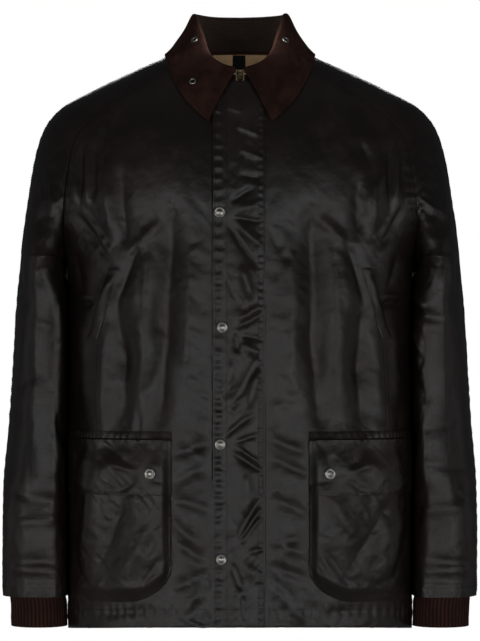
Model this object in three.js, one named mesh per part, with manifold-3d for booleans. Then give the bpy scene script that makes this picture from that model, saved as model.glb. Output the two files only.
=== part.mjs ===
// A waxed cotton jacket, filled out as if worn, zipped and snapped shut.
// Millimetres, +Z up, X across the jacket, the front faces -Y.
// The origin lies on the centre line, level with the points where the collar meets the shoulders.
import * as THREE from "three";
import { mergeVertices } from "three/addons/utils/BufferGeometryUtils.js";
import Module from "manifold-3d";

const wasm = await Module();
wasm.setup();

// Driving dimensions
const CLOTH = 2; // shell and lining together
const SEAM = 0.2; // each piece stops this short of a seam line
const HEM_FRONT = -712.5;
const HEM_BACK = -722;
const HEM_SIDE = -722.5;
const SLEEVE_END = -679;
const CUFF_END = -718;
const CUFF_TOP = -640;
const FRONT_EDGE = 5.2; // from the centre line to the front's own edge at the zip
const COLLAR_WALL = 2.6;
const FLY = { left: -33, right: 31, top: -34, lift: 1, wall: 1.8 };
const SNAP = { radius: 7.2, height: 3.4, seat: 0.35 };
const STUD = { radius: 5, height: 1.9, eye: 2.1 };
const TAPE = { inner: 3.4, outer: 16, depth: 2.7, wall: 1 };
const CHAIN = { half: 3, front: 0.9, back: -2.8, top: -26.5 };
const TAB = { width: 4.8, length: 13, wall: 1.3, eye: 1.7, hole: 0.95, pin: 0.65 };
const ARM_BOTTOM = -258; // the lowest point of the armhole

// The body's level sections: half width, depth to the front and to the back, and squareness.
const BODY = [
  { z: 24, wide: 30, front: 30, back: 84, square: 2 },
  { z: 12, wide: 68, front: 36, back: 92, square: 2 },
  { z: 6, wide: 82, front: 48, back: 95, square: 2 },
  { z: 0, wide: 96, front: 67, back: 98, square: 2 },
  { z: -5, wide: 107.5, front: 76, back: 99.5, square: 2 },
  { z: -10, wide: 119, front: 82, back: 101, square: 2 },
  { z: -20, wide: 141, front: 88, back: 104, square: 2 },
  { z: -40, wide: 183, front: 101, back: 110, square: 2 },
  { z: -66, wide: 229, front: 114, back: 118, square: 2 },
  { z: -90, wide: 248, front: 122, back: 125, square: 2.1 },
  { z: -120, wide: 258, front: 131, back: 132, square: 2.25 },
  { z: -150, wide: 262, front: 137, back: 136, square: 2.4 },
  { z: -180, wide: 268, front: 141, back: 139, square: 2.45 },
  { z: -200, wide: 257, front: 142, back: 140, square: 2.5 },
  { z: -215, wide: 246, front: 142.5, back: 140, square: 2.6 },
  { z: -230, wide: 232.5, front: 143, back: 140, square: 2.8 },
  { z: -245, wide: 224.6, front: 143.5, back: 139.5, square: 3 },
  { z: -258, wide: 219, front: 144, back: 139, square: 3.1 },
  { z: -290, wide: 218.2, front: 145, back: 138, square: 3.05 },
  { z: -340, wide: 218, front: 145, back: 136, square: 2.95 },
  { z: -450, wide: 218, front: 142, back: 131, square: 2.85 },
  { z: -600, wide: 218, front: 140, back: 130, square: 2.8 },
  { z: -740, wide: 218, front: 138, back: 131, square: 2.75 },
];

// The sleeve's level sections: outer edge, centre line, inner edge, half depth and forward swing.
const SLEEVE = [
  { z: 24, outer: 30, mid: 0, depth: 60, swing: 0 },
  { z: 12, outer: 68, mid: 0, depth: 60, swing: 0 },
  { z: 6, outer: 82, mid: 0, depth: 60, swing: 0 },
  { z: 0, outer: 96, mid: 0, depth: 60, swing: 0 },
  { z: -5, outer: 107.5, mid: 0, depth: 60, swing: 0 },
  { z: -10, outer: 119, mid: 0, depth: 60, swing: 0 },
  { z: -20, outer: 141, mid: 0, depth: 60, swing: 0 },
  { z: -40, outer: 183, mid: 0, depth: 100, swing: 0 },
  { z: -66, outer: 229, mid: 0, depth: 110, swing: 0 },
  { z: -90, outer: 248, mid: 60, depth: 110, swing: 0 },
  { z: -120, outer: 258.3, mid: 140, depth: 105, swing: 0 },
  { z: -150, outer: 264.3, mid: 190, depth: 98, swing: 0 },
  { z: -180, outer: 268.9, mid: 218, depth: 95, swing: 0 },
  { z: -215, outer: 273.9, mid: 238, depth: 97, swing: 0 },
  { z: -245, outer: 276.9, mid: 247, depth: 103, swing: 0 },
  { z: -258, outer: 277.8, mid: 249, depth: 105, swing: 0 },
  { z: -300, outer: 282.6, mid: 250.8, depth: 99, swing: 0 },
  { z: -383, outer: 288, mid: 253.3, depth: 90, swing: -2 },
  { z: -460, outer: 293, mid: 255.7, depth: 84, swing: -6 },
  { z: -540, outer: 299, mid: 258.7, depth: 76, swing: -13 },
  { z: -612, outer: 299.4, mid: 258.8, depth: 67, swing: -19 },
  { z: -700, outer: 299, mid: 258.4, depth: 57, swing: -26 },
];

// The seam between body and sleeve: across the shoulder by its distance from the centre line,
// and round the bottom of the armhole by its depth from the side line.
const RAGLAN_FRONT = [
  { z: -5, across: 62 },
  { z: -20, across: 94 },
  { z: -42, across: 132 },
  { z: -72, across: 176 },
  { z: -104, across: 206 },
  { z: -140, across: 215 },
  { z: -180, across: 219.5 },
  { z: -200, across: 220 },
];
const RAGLAN_BACK = [
  { z: 9, across: 55 },
  { z: -10, across: 88 },
  { z: -42, across: 130 },
  { z: -72, across: 166 },
  { z: -104, across: 194 },
  { z: -140, across: 210 },
  { z: -180, across: 218 },
  { z: -200, across: 220 },
];
const ARMHOLE_BOTTOM = [
  { z: -200, depth: 90 },
  { z: -215, depth: 83 },
  { z: -230, depth: 71 },
  { z: -243, depth: 56 },
  { z: -251.5, depth: 38 },
  { z: -256.5, depth: 18 },
  { z: ARM_BOTTOM, depth: 0 },
];

// Rows of the body's pieces: level at the centre and level at the seam or side.
const FRONT_ROWS = [
  { centre: -26, seam: -5 },
  { centre: -42, seam: -22 },
  { centre: -60, seam: -44 },
  { centre: -80, seam: -70 },
  { centre: -102, seam: -98 },
  { centre: -126, seam: -128 },
  { centre: -150, seam: -156 },
  { centre: -174, seam: -180 },
  { centre: -198, seam: -200 },
  { centre: -220, seam: -215 },
  { centre: -242, seam: -230 },
  { centre: -264, seam: -243 },
  { centre: -286, seam: -251.5 },
  { centre: -308, seam: -256.5 },
  { centre: -330, seam: ARM_BOTTOM },
];
// Levels of the neck seam: at the back's centre, at the back's raglan seam, over the shoulder,
// at the front's raglan seam and at the front's centre.
const BACK_TOP = 12;
const BACK_NECK = 9;
const SIDE_NECK = 6;
const FRONT_NECK = -5;
const FRONT_TOP = -26;
const SIDE_LEVELS = [-290, -322, -354, -386, -418, -450, -482, -514, -546, -578, -610, -642, -674, -700];
const CENTRE_LEVELS = [-352, -374, -396, -420, -444, -470, -496, -524, -552, -582, -612, -643, -674, -700];

// Rows of the sleeve's pieces: level over the arm, at the front seam and at the back seam.
const SLEEVE_ROWS = [
  { over: 6, front: -5, back: 9 },
  { over: -6, front: -22, back: -8 },
  { over: -20, front: -44, back: -30 },
  { over: -37, front: -70, back: -58 },
  { over: -56, front: -98, back: -90 },
  { over: -80, front: -128, back: -124 },
  { over: -108, front: -156, back: -154 },
  { over: -136, front: -180, back: -180 },
  { over: -162, front: -200, back: -200 },
  { over: -186, front: -215, back: -215 },
  { over: -208, front: -230, back: -230 },
  { over: -228, front: -243, back: -243 },
  { over: -246, front: -251.5, back: -251.5 },
  { over: -262, front: -256.5, back: -256.5 },
  { over: -280, front: ARM_BOTTOM, back: ARM_BOTTOM },
];
const ARM_LEVELS = [-308, -338, -368, -398, -428, -458, -488, -518, -548, -578, -608, -640, SLEEVE_END];
const UNDER_LEVELS = [-284, -314, -346, -380, -414, -448, -482, -514, -546, -578, -608, -640, SLEEVE_END];

// Troughs and ridges of the cloth: from, to, half width and depth (negative for a trough).
// Body creases run between points given across and up, for the front (and the back's own list).
const FRONT_CREASES = [
  { from: [84, -205], to: [92, -462], half: 17, depth: -7 },
  { from: [112, -250], to: [128, -440], half: 15, depth: 4 },
  { from: [150, -285], to: [148, -440], half: 13, depth: -6 },
  { from: [196, -150], to: [152, -262], half: 11, depth: -4.5 },
  { from: [112, -185], to: [150, -262], half: 12, depth: 4 },
  { from: [180, -110], to: [172, -200], half: 13, depth: 4.5 },
];
const BACK_CREASES = [
  { from: [60, -160], to: [70, -620], half: 26, depth: -5 },
  { from: [190, -190], to: [120, -330], half: 18, depth: -6 },
  { from: [130, -330], to: [140, -640], half: 22, depth: 5 },
];
// Sleeve creases run between points given as degrees round from the outer edge and level.
const ARM_CREASES = [
  { from: [62, -300], to: [50, -600], half: 16, depth: -5.5 },
  { from: [105, -320], to: [95, -560], half: 15, depth: 4.5 },
  { from: [20, -150], to: [70, -235], half: 14, depth: -5 },
  { from: [50, -392], to: [130, -372], half: 12, depth: -5 },
  { from: [40, -455], to: [140, -470], half: 12, depth: -4 },
];

const mix = (a, b, t) => a + (b - a) * t;
const ease = (t) => {
  const s = Math.min(1, Math.max(0, t));
  return s * s * (3 - 2 * s);
};

// Smooth interpolation of a table's column at level z, with slopes that never overshoot.
function read(table, column, z) {
  const falling = table[0].z > table[1].z;
  const rows = falling ? table : [...table].reverse();
  if (z >= rows[0].z) return rows[0][column];
  const last = rows.length - 1;
  if (z <= rows[last].z) return rows[last][column];
  const i = rows.findIndex((row, k) => k < last && z <= row.z && z > rows[k + 1].z);
  const slope = (k) => (rows[k + 1][column] - rows[k][column]) / (rows[k + 1].z - rows[k].z);
  const tangent = (k) => {
    if (k === 0 || k === last) return slope(Math.min(k, last - 1));
    const [a, b] = [slope(k - 1), slope(k)];
    return a * b <= 0 ? 0 : (2 * a * b) / (a + b);
  };
  const span = rows[i + 1].z - rows[i].z;
  const t = (z - rows[i].z) / span;
  const [t2, t3] = [t * t, t * t * t];
  return (
    (2 * t3 - 3 * t2 + 1) * rows[i][column] +
    (t3 - 2 * t2 + t) * span * tangent(i) +
    (3 * t2 - 2 * t3) * rows[i + 1][column] +
    (t3 - t2) * span * tangent(i + 1)
  );
}

// Height of the creases at a point: each is a soft trough round a line, fading at its ends.
function creaseAt(creases, across, z, reach = 1) {
  let height = 0;
  for (const { from, to, half, depth } of creases) {
    const [dx, dz] = [(to[0] - from[0]) * reach, to[1] - from[1]];
    const length = Math.hypot(dx, dz);
    const [px, pz] = [(across - from[0]) * reach, z - from[1]];
    const along = (px * dx + pz * dz) / length;
    const off = (px * dz - pz * dx) / length;
    const fade = ease((along + half) / (3 * half)) * ease((length + half - along) / (3 * half));
    height += depth * fade * Math.exp(-((off / half) ** 2));
  }
  return height;
}

// A point of the body at an angle from the centre (0) to the side (90 degrees), at level z.
function bodyPoint(facing, angle, z, lift = 0) {
  const wide = read(BODY, "wide", z);
  const deep = read(BODY, facing < 0 ? "front" : "back", z);
  const square = read(BODY, "square", z);
  const across = wide * Math.sin(angle) ** (2 / square);
  const depth = deep * Math.max(0, Math.cos(angle)) ** (2 / square);
  const creases = facing < 0 ? FRONT_CREASES : BACK_CREASES;
  const clear = ease((wide - across - 6) / 24) * ease((-60 - z) / 40);
  const raised = lift + clear * creaseAt(creases, across, z);
  const nx = (across / wide) ** (square - 1) / wide;
  const ny = (depth / deep) ** (square - 1) / deep;
  const size = Math.hypot(nx, ny);
  return new THREE.Vector3(across + (raised * nx) / size, facing * (depth + (raised * ny) / size), z);
}

// The angle of a body point that lies the given distance from the centre line.
function angleAcross(across, z) {
  const wide = read(BODY, "wide", z);
  const square = read(BODY, "square", z);
  return Math.asin(Math.min(1, (across / wide) ** (square / 2)));
}

// The angle of a body point that lies the given depth from the side line.
function angleDeep(facing, depth, z) {
  const deep = read(BODY, facing < 0 ? "front" : "back", z);
  const square = read(BODY, "square", z);
  return Math.acos(Math.min(1, (depth / deep) ** (square / 2)));
}

// Where the seam crosses level z, as an angle on the body.
function seamAngle(facing, z) {
  if (z <= ARM_BOTTOM) return Math.PI / 2;
  const table = facing < 0 ? RAGLAN_FRONT : RAGLAN_BACK;
  if (z >= -200) return angleAcross(read(table, "across", z), z);
  return angleDeep(facing, read(ARMHOLE_BOTTOM, "depth", z), z);
}

// A point of the sleeve: turn runs from 0 over the arm to 1 at the seam, at level z.
function sleevePoint(facing, turn, z, seamLevel) {
  const outer = read(SLEEVE, "outer", z);
  const mid = read(SLEEVE, "mid", z);
  const swing = read(SLEEVE, "swing", z);
  const half = outer - mid;
  const onSeam = seamLevel > ARM_BOTTOM;
  let depth = read(SLEEVE, "depth", z);
  let full = Math.PI;
  if (onSeam) {
    const seam = bodyPoint(facing, seamAngle(facing, seamLevel), seamLevel);
    const seamHalf = read(SLEEVE, "outer", seamLevel) - read(SLEEVE, "mid", seamLevel);
    const cosine = (seam.x - read(SLEEVE, "mid", seamLevel)) / seamHalf;
    full = Math.acos(Math.max(-1, Math.min(1, cosine)));
  }
  if (z > ARM_BOTTOM + 0.5) {
    const neck = facing < 0 ? FRONT_NECK : BACK_NECK;
    const level = Math.min(neck, Math.max(z, ARM_BOTTOM + 8));
    const seam = bodyPoint(facing, seamAngle(facing, level), level);
    const seamHalf = read(SLEEVE, "outer", level) - read(SLEEVE, "mid", level);
    const cosine = Math.max(-1, Math.min(1, (seam.x - read(SLEEVE, "mid", level)) / seamHalf));
    const fitted = Math.abs(seam.y) / Math.sqrt(1 - cosine * cosine);
    const own = read(BODY, facing < 0 ? "front" : "back", z);
    depth = z > -66 ? own : mix(depth, fitted, ease((z + 250) / 40));
  }
  const angle = full * turn;
  const degrees = (angle * 180) / Math.PI;
  const clear = ease((-70 - z) / 50) * ease((1 - turn) / 0.3) * ease((z - SLEEVE_END - 60) / 30);
  const inner = ease((degrees - 120) / 40);
  const raised = clear * (1 - inner) * creaseAt(ARM_CREASES, degrees, z, 1.2);
  const [c, s] = [Math.cos(angle), Math.sin(angle)];
  const n = Math.hypot(c / half, s / depth);
  return new THREE.Vector3(
    mid + half * c + (raised * c) / half / n,
    swing + facing * (depth * s + (raised * s) / depth / n),
    z,
  );
}

// One row of points from over the arm to the seam, ending exactly on the seam.
function sleeveRow(facing, over, under, columns) {
  const points = [];
  for (let j = 0; j <= columns; j++) {
    const turn = j / columns;
    points.push(sleevePoint(facing, turn, mix(over, under, turn), under));
  }
  if (under >= ARM_BOTTOM) {
    const seam = bodyPoint(facing, seamAngle(facing, under), under);
    const miss = seam.clone().sub(points[columns]);
    points.forEach((p, j) => p.addScaledVector(miss, (j / columns) ** 3));
  }
  return points;
}

// A row of the body from angle share 0 at the centre to 1 at the seam or side.
function bodyRow(facing, centre, seam, columns, start) {
  const end = seamAngle(facing, seam);
  const points = [];
  for (let j = 0; j <= columns; j++) {
    const share = j / columns;
    const z = mix(centre, seam, share * share);
    const first = start ? angleAcross(start, centre) : 0;
    points.push(bodyPoint(facing, mix(first, end, share), z));
  }
  return points;
}

// Outward unit normals of a grid of points, by differences along its rows and columns.
function normalsOf(grid, out) {
  const difference = (at, i, last) => {
    if (last < 2) return at(last).clone().sub(at(0));
    if (i === 0) return at(1).clone().multiplyScalar(4).addScaledVector(at(0), -3).sub(at(2));
    if (i === last) {
      return at(last - 1).clone().multiplyScalar(-4).addScaledVector(at(last), 3).add(at(last - 2));
    }
    return at(i + 1).clone().sub(at(i - 1));
  };
  return grid.map((row, i) =>
    row.map((_, j) => {
      const down = difference((k) => grid[k][j], i, grid.length - 1);
      const across = difference((k) => row[k], j, row.length - 1);
      return down.cross(across).normalize().multiplyScalar(out);
    }),
  );
}

// Pulls the rim of a grid back by the seam allowance.
function trim(grid, { top = SEAM, bottom = 0, first = SEAM, last = SEAM }) {
  const pull = (p, q, by) => p.clone().add(q.clone().sub(p).setLength(by));
  const made = grid.map((row) => row.map((p) => p.clone()));
  const [rows, columns] = [grid.length - 1, grid[0].length - 1];
  for (let i = 0; i <= rows; i++) {
    if (first) made[i][0] = pull(grid[i][0], grid[i][1], first);
    if (last) made[i][columns] = pull(grid[i][columns], grid[i][columns - 1], last);
  }
  for (let j = 0; j <= columns; j++) {
    if (top) made[0][j] = pull(made[0][j], made[1][j], top);
    if (bottom) made[rows][j] = pull(made[rows][j], made[rows - 1][j], bottom);
  }
  return made;
}

// A closed wall between an outer and an inner grid of the same size; it may wrap round.
function wallBetween(outer, inner, wraps = false) {
  const [rows, columns] = [outer.length, outer[0].length];
  const position = [];
  for (const grid of [outer, inner]) grid.forEach((row) => row.forEach((p) => position.push(p.x, p.y, p.z)));
  const at = (side, i, j) => side * rows * columns + i * columns + (j % columns);
  const index = [];
  const quad = (a, b, c, d) => index.push(a, b, c, a, c, d);
  const across = wraps ? columns : columns - 1;
  for (let i = 0; i < rows - 1; i++) {
    for (let j = 0; j < across; j++) {
      quad(at(0, i, j), at(0, i + 1, j), at(0, i + 1, j + 1), at(0, i, j + 1));
      quad(at(1, i, j), at(1, i, j + 1), at(1, i + 1, j + 1), at(1, i + 1, j));
    }
  }
  for (let j = 0; j < across; j++) {
    quad(at(0, 0, j), at(0, 0, j + 1), at(1, 0, j + 1), at(1, 0, j));
    quad(at(0, rows - 1, j + 1), at(0, rows - 1, j), at(1, rows - 1, j), at(1, rows - 1, j + 1));
  }
  if (!wraps) {
    for (let i = 0; i < rows - 1; i++) {
      quad(at(0, i + 1, 0), at(0, i, 0), at(1, i, 0), at(1, i + 1, 0));
      const end = columns - 1;
      quad(at(0, i, end), at(0, i + 1, end), at(1, i + 1, end), at(1, i, end));
    }
  }
  const geometry = new THREE.BufferGeometry();
  geometry.setAttribute("position", new THREE.Float32BufferAttribute(position, 3));
  geometry.setIndex(index);
  return facingOut(geometry);
}

// The signed volume of a closed geometry; negative when it is inside out.
function volumeOf(geometry) {
  const p = geometry.getAttribute("position");
  const index = geometry.index.array;
  const [a, b, c] = [new THREE.Vector3(), new THREE.Vector3(), new THREE.Vector3()];
  let volume = 0;
  for (let i = 0; i < index.length; i += 3) {
    a.fromBufferAttribute(p, index[i]);
    b.fromBufferAttribute(p, index[i + 1]);
    c.fromBufferAttribute(p, index[i + 2]);
    volume += a.dot(b.cross(c)) / 6;
  }
  return volume;
}

// Turns every face round when a closed geometry is inside out.
function facingOut(geometry) {
  if (volumeOf(geometry) < 0) {
    const index = geometry.index.array;
    for (let i = 0; i < index.length; i += 3) [index[i + 1], index[i + 2]] = [index[i + 2], index[i + 1]];
  }
  geometry.computeVertexNormals();
  return geometry;
}

const mirrored = (grid) => grid.map((row) => row.map((p) => new THREE.Vector3(-p.x, p.y, p.z)));
const pushed = (grid, normals, by) =>
  grid.map((row, i) =>
    row.map((p, j) => p.clone().addScaledVector(normals[i][j], typeof by === "number" ? by : by(i, j))),
  );

// Points the normals of a grid away from a centre line inside the garment.
function outward(grid, centre) {
  const normals = normalsOf(grid, 1);
  let agree = 0;
  grid.forEach((row, i) => row.forEach((p, j) => (agree += normals[i][j].dot(p.clone().sub(centre(p))))));
  return agree < 0 ? normals.map((row) => row.map((n) => n.negate())) : normals;
}
const bodyAxis = (p) => new THREE.Vector3(0, 0, p.z);

// Materials
const cloth = (name, color, roughness) => new THREE.MeshStandardMaterial({ name, color, roughness });
const WAXED = cloth("waxed_cotton", 0x2b2420, 0.42);
const CORD = cloth("corduroy", 0x3a2620, 0.85);
const KNIT = cloth("rib_knit", 0x35231d, 0.9);
const LINING = cloth("lining", 0x8a6238, 0.8);
const LABEL = cloth("label", 0x1e1b1a, 0.7);
const TAPE_CLOTH = cloth("zip_tape", 0x1c1817, 0.8);
const STEEL = new THREE.MeshStandardMaterial({ name: "steel", color: 0x8c8a86, roughness: 0.35, metalness: 1 });
const BRASS = new THREE.MeshStandardMaterial({ name: "brass", color: 0x7d6a48, roughness: 0.4, metalness: 1 });

const jacket = new THREE.Group();
function add(name, geometry, material, parent = jacket) {
  const mesh = new THREE.Mesh(geometry, material);
  mesh.name = name;
  parent.add(mesh);
  return mesh;
}

// Fronts, cut from the zip edge to the raglan seam and side seam
const FRONT_COLUMNS = 11;
function frontGrid() {
  const rows = FRONT_ROWS.map(({ centre, seam }) => bodyRow(-1, centre, seam, FRONT_COLUMNS, FRONT_EDGE));
  SIDE_LEVELS.forEach((side, k) => rows.push(bodyRow(-1, CENTRE_LEVELS[k], side, FRONT_COLUMNS, FRONT_EDGE)));
  rows.push(bodyRow(-1, HEM_FRONT, HEM_SIDE, FRONT_COLUMNS, FRONT_EDGE));
  return rows;
}
function makeFronts() {
  const grid = frontGrid();
  const normals = outward(grid, bodyAxis);
  const inner = pushed(grid, normals, -CLOTH);
  const [outerCut, innerCut] = [grid, inner].map((g) => trim(g, { first: 0 }));
  add("front_right", wallBetween(outerCut, innerCut), WAXED);
  add("front_left", wallBetween(mirrored(outerCut), mirrored(innerCut)), WAXED);
}

// Back, one piece between both raglan seams and side seams; its neck is higher than the front's
const BACK_COLUMNS = 10;
const NECK_ROWS = 4; // rows over which the levels ease from the back's neck to the front's rows
const NECK_DROP = 6;
function backHalf() {
  const rows = FRONT_ROWS.map(({ centre }, k) => {
    const level = k < NECK_ROWS ? mix(BACK_TOP, centre - NECK_DROP, k / NECK_ROWS) : centre;
    return bodyRow(1, level, SLEEVE_ROWS[k].back, BACK_COLUMNS);
  });
  SIDE_LEVELS.forEach((side, k) => rows.push(bodyRow(1, CENTRE_LEVELS[k], side, BACK_COLUMNS)));
  rows.push(bodyRow(1, HEM_BACK, HEM_SIDE, BACK_COLUMNS));
  return rows;
}
function backGrid() {
  return backHalf().map((row) => [
    ...row.slice(1).reverse().map((p) => new THREE.Vector3(-p.x, p.y, p.z)),
    ...row.map((p) => p.clone()),
  ]);
}
function makeBack() {
  const grid = backGrid();
  const normals = outward(grid, bodyAxis);
  const inner = pushed(grid, normals, -CLOTH);
  add("back_panel", wallBetween(trim(grid, {}), trim(inner, {})), WAXED);
  return { inner, normals };
}

// Sleeves, a front and a back half each, seamed over the arm and under it
const SLEEVE_COLUMNS = 8;
const armAxis = (p) => new THREE.Vector3(read(SLEEVE, "mid", p.z), read(SLEEVE, "swing", p.z), p.z);
function sleeveGrid(facing) {
  const seam = facing < 0 ? "front" : "back";
  const rows = SLEEVE_ROWS.map((row) => sleeveRow(facing, row.over, row[seam], SLEEVE_COLUMNS));
  ARM_LEVELS.forEach((over, k) => {
    rows.push(sleeveRow(facing, over, UNDER_LEVELS[k] - 0.01, SLEEVE_COLUMNS));
  });
  return rows;
}
function makeSleeves() {
  for (const [facing, half] of [[-1, "front"], [1, "back"]]) {
    const grid = sleeveGrid(facing);
    const normals = outward(grid, armAxis);
    const inner = pushed(grid, normals, -CLOTH);
    const [outerCut, innerCut] = [grid, inner].map((g) => trim(g, {}));
    add("sleeve_right_" + half, wallBetween(outerCut, innerCut), WAXED);
    add("sleeve_left_" + half, wallBetween(mirrored(outerCut), mirrored(innerCut)), WAXED);
  }
}

// The neck seam, all the way round one side: share 0 at the front centre, 1 at the back centre.
function neckPoint(share) {
  const [frontEnd, over, backEnd] = [0.3, 0.5, 0.7];
  if (share <= frontEnd) {
    const t = share / frontEnd;
    const z = mix(FRONT_TOP, FRONT_NECK, t * t);
    const angle = mix(angleAcross(FRONT_EDGE, FRONT_TOP), seamAngle(-1, FRONT_NECK), t);
    return bodyPoint(-1, angle, z);
  }
  if (share <= over) {
    const turn = (over - share) / (over - frontEnd);
    return sleevePoint(-1, turn, mix(SIDE_NECK, FRONT_NECK, turn), FRONT_NECK);
  }
  if (share <= backEnd) {
    const turn = (share - over) / (backEnd - over);
    return sleevePoint(1, turn, mix(SIDE_NECK, BACK_NECK, turn), BACK_NECK);
  }
  const t = (1 - share) / (1 - backEnd);
  return bodyPoint(1, mix(0, seamAngle(1, BACK_NECK), t), mix(BACK_TOP, BACK_NECK, t * t));
}

// The collar's fold line and the fall's lower edge, by share of the way round from the front.
const FOLD = [
  { share: 0, across: 6, depth: -95, up: -19 },
  { share: 0.12, across: 25, depth: -88, up: -12 },
  { share: 0.24, across: 40, depth: -72, up: 2 },
  { share: 0.36, across: 48, depth: -50, up: 25 },
  { share: 0.48, across: 56, depth: -18, up: 49 },
  { share: 0.6, across: 58.5, depth: 14, up: 56 },
  { share: 0.75, across: 50, depth: 45, up: 56 },
  { share: 0.88, across: 28, depth: 66, up: 55.6 },
  { share: 1, across: 0, depth: 74, up: 55.4 },
];
const FALL_EDGE = [
  { share: 0, across: 39.5, depth: -126, up: -87 },
  { share: 0.12, across: 53, depth: -116, up: -74 },
  { share: 0.24, across: 68, depth: -104, up: -59 },
  { share: 0.36, across: 81, depth: -84, up: -38 },
  { share: 0.48, across: 91, depth: -50, up: -12 },
  { share: 0.6, across: 94, depth: 10, up: 3 },
  { share: 0.75, across: 80, depth: 66, up: -2 },
  { share: 0.88, across: 46, depth: 97, up: -9 },
  { share: 1, across: 0, depth: 108, up: -12 },
];
const rising = (table) => table.map((row) => ({ ...row, z: row.share }));
function along(table, share) {
  const rows = rising(table);
  const get = (column) => read(rows, column, share);
  return new THREE.Vector3(get("across"), get("depth"), get("up"));
}

// Moves a point straight off the body until it has the clearance.
function offBody(point, clearance) {
  const p = point.clone();
  const field = (x, y, z) => {
    const wide = read(BODY, "wide", z);
    const deep = read(BODY, y < 0 ? "front" : "back", z);
    const square = read(BODY, "square", z);
    return (Math.abs(x) / wide) ** square + (Math.abs(y) / deep) ** square - 1;
  };
  for (let k = 0; k < 6; k++) {
    const value = field(p.x, p.y, p.z);
    const step = 0.5;
    const slope = new THREE.Vector3(
      field(p.x + step, p.y, p.z) - field(p.x - step, p.y, p.z),
      field(p.x, p.y + step, p.z) - field(p.x, p.y - step, p.z),
      field(p.x, p.y, p.z + step) - field(p.x, p.y, p.z - step),
    ).divideScalar(2 * step);
    const distance = value / slope.length();
    if (distance >= clearance) return p;
    p.addScaledVector(slope.normalize(), Math.min(clearance - distance, 8));
  }
  return p;
}

// The middle of the collar's wall: path 0 at the neck seam, 0.42 at the fold, 1 at the fall's edge.
const STAND_STEPS = 3;
const FALL_STEPS = 5;
const TURN = 3.1; // half of the gap between stand and fall at the fold
const [FRONT_BULGE, SIDE_BULGE] = [2.5, -3]; // the fall is full in front and flares at the sides
const NECK_RISE = 2.7; // the stand starts this far above the seam line
function collarSection(share) {
  const neck = neckPoint(share);
  const fold = along(FOLD, share);
  const edge = along(FALL_EDGE, share);
  const flat = new THREE.Vector3(fold.x, fold.y, 0).normalize();
  const out = share < 0.1 ? flat.lerp(new THREE.Vector3(0, -1, 0), 1 - share / 0.1).normalize() : flat;
  const inward = new THREE.Vector3(-neck.x, -neck.y, 0).normalize();
  const base = neck.clone().addScaledVector(inward, 1.2);
  base.z += NECK_RISE;
  const foldIn = fold.clone().addScaledVector(out, -TURN);
  foldIn.z -= TURN;
  const foldOut = fold.clone().addScaledVector(out, TURN);
  foldOut.z -= TURN;
  const path = [];
  for (let k = 0; k < STAND_STEPS; k++) path.push(base.clone().lerp(foldIn, k / STAND_STEPS));
  path.push(foldIn, fold.clone(), foldOut);
  for (let k = 1; k <= FALL_STEPS; k++) {
    const t = k / FALL_STEPS;
    const p = foldOut.clone().lerp(edge, t);
    const bulge = mix(FRONT_BULGE, SIDE_BULGE, ease((share - 0.3) / 0.2)) * ease(share / 0.3);
    p.addScaledVector(out, bulge * Math.sin(Math.PI * t));
    const overFly = 1 - ease((p.x - 38) / 14);
    path.push(offBody(p, mix(3.1, 6.9, overFly * ease((-22 - p.z) / 10))));
  }
  return path;
}
const COLLAR_SHARES = [0, 0.06, 0.12, 0.18, 0.24, 0.3, 0.36, 0.43, 0.51, 0.6, 0.7, 0.8, 0.9, 1];
function collarGrids() {
  const half = COLLAR_SHARES.map(collarSection);
  const left = half.map((path) => path.map((p) => new THREE.Vector3(-p.x, p.y, p.z)));
  const sections = [...left, ...half.slice(0, -1).reverse()];
  const grid = sections[0].map((_, i) => sections.map((section) => section[i]));
  const normals = normalsOf(grid, 1);
  return { grid, normals };
}
function makeCollar() {
  const { grid, normals } = collarGrids();
  const outer = pushed(grid, normals, COLLAR_WALL / 2);
  const inner = pushed(grid, normals, -COLLAR_WALL / 2);
  add("collar", wallBetween(outer, inner), CORD);
  return { grid, normals };
}

// A point of the front at a distance across and a level, moved out by lift.
function frontPoint(x, z, lift) {
  const point = bodyPoint(-1, angleAcross(Math.abs(x), z), z, lift);
  return new THREE.Vector3(Math.sign(x || 1) * point.x, point.y, z);
}
const HEM_LIFT = 0.5;

// Storm fly over the zip, sewn down along one side
const FLY_LEVELS = [
  FLY.top, -46, -60, -76, -94, -114, -138, -166, -196, -230, -266, -304, -342, -382, -422, -462, -502,
  -542, -582, -622, -660, -690, HEM_FRONT + HEM_LIFT,
];
const FLY_STATIONS = [FLY.left, -17, 0, 16, FLY.right];
function flyLift(x, z) {
  const free = ease((FLY.right - x) / 20);
  return FLY.lift + 0.9 * free + 0.4 * free * Math.sin(z / 16);
}
function makeFly() {
  const layer = (extra) =>
    FLY_LEVELS.map((z) => FLY_STATIONS.map((x) => frontPoint(x, z, flyLift(x, z) + extra)));
  add("storm_flap", wallBetween(layer(FLY.wall), layer(0)), WAXED);
}

// Zip: a tape behind each front's edge, and the closed chain between them
const ZIP_LEVELS = [-34, -46, -60, -78, -98, -122, -150, -185, -230, -290, -360, -440, -530, -620, -702];
function makeZip() {
  for (const [side, name] of [[-1, "left"], [1, "right"]]) {
    const layer = (depth) =>
      ZIP_LEVELS.map((z) =>
        [TAPE.inner, 9, TAPE.outer].map((x) => {
          const p = frontPoint(x, z, -depth);
          return new THREE.Vector3(side * p.x, p.y, p.z);
        }),
      );
    add("zip_tape_" + name, wallBetween(layer(TAPE.depth), layer(TAPE.depth + TAPE.wall)), TAPE_CLOTH);
  }
  const strip = (lift) =>
    [CHAIN.top, ...ZIP_LEVELS].map((z) => [-CHAIN.half, CHAIN.half].map((x) => frontPoint(x, z, lift)));
  add("zip_chain", wallBetween(strip(CHAIN.front), strip(CHAIN.back)), BRASS);
}

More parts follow.
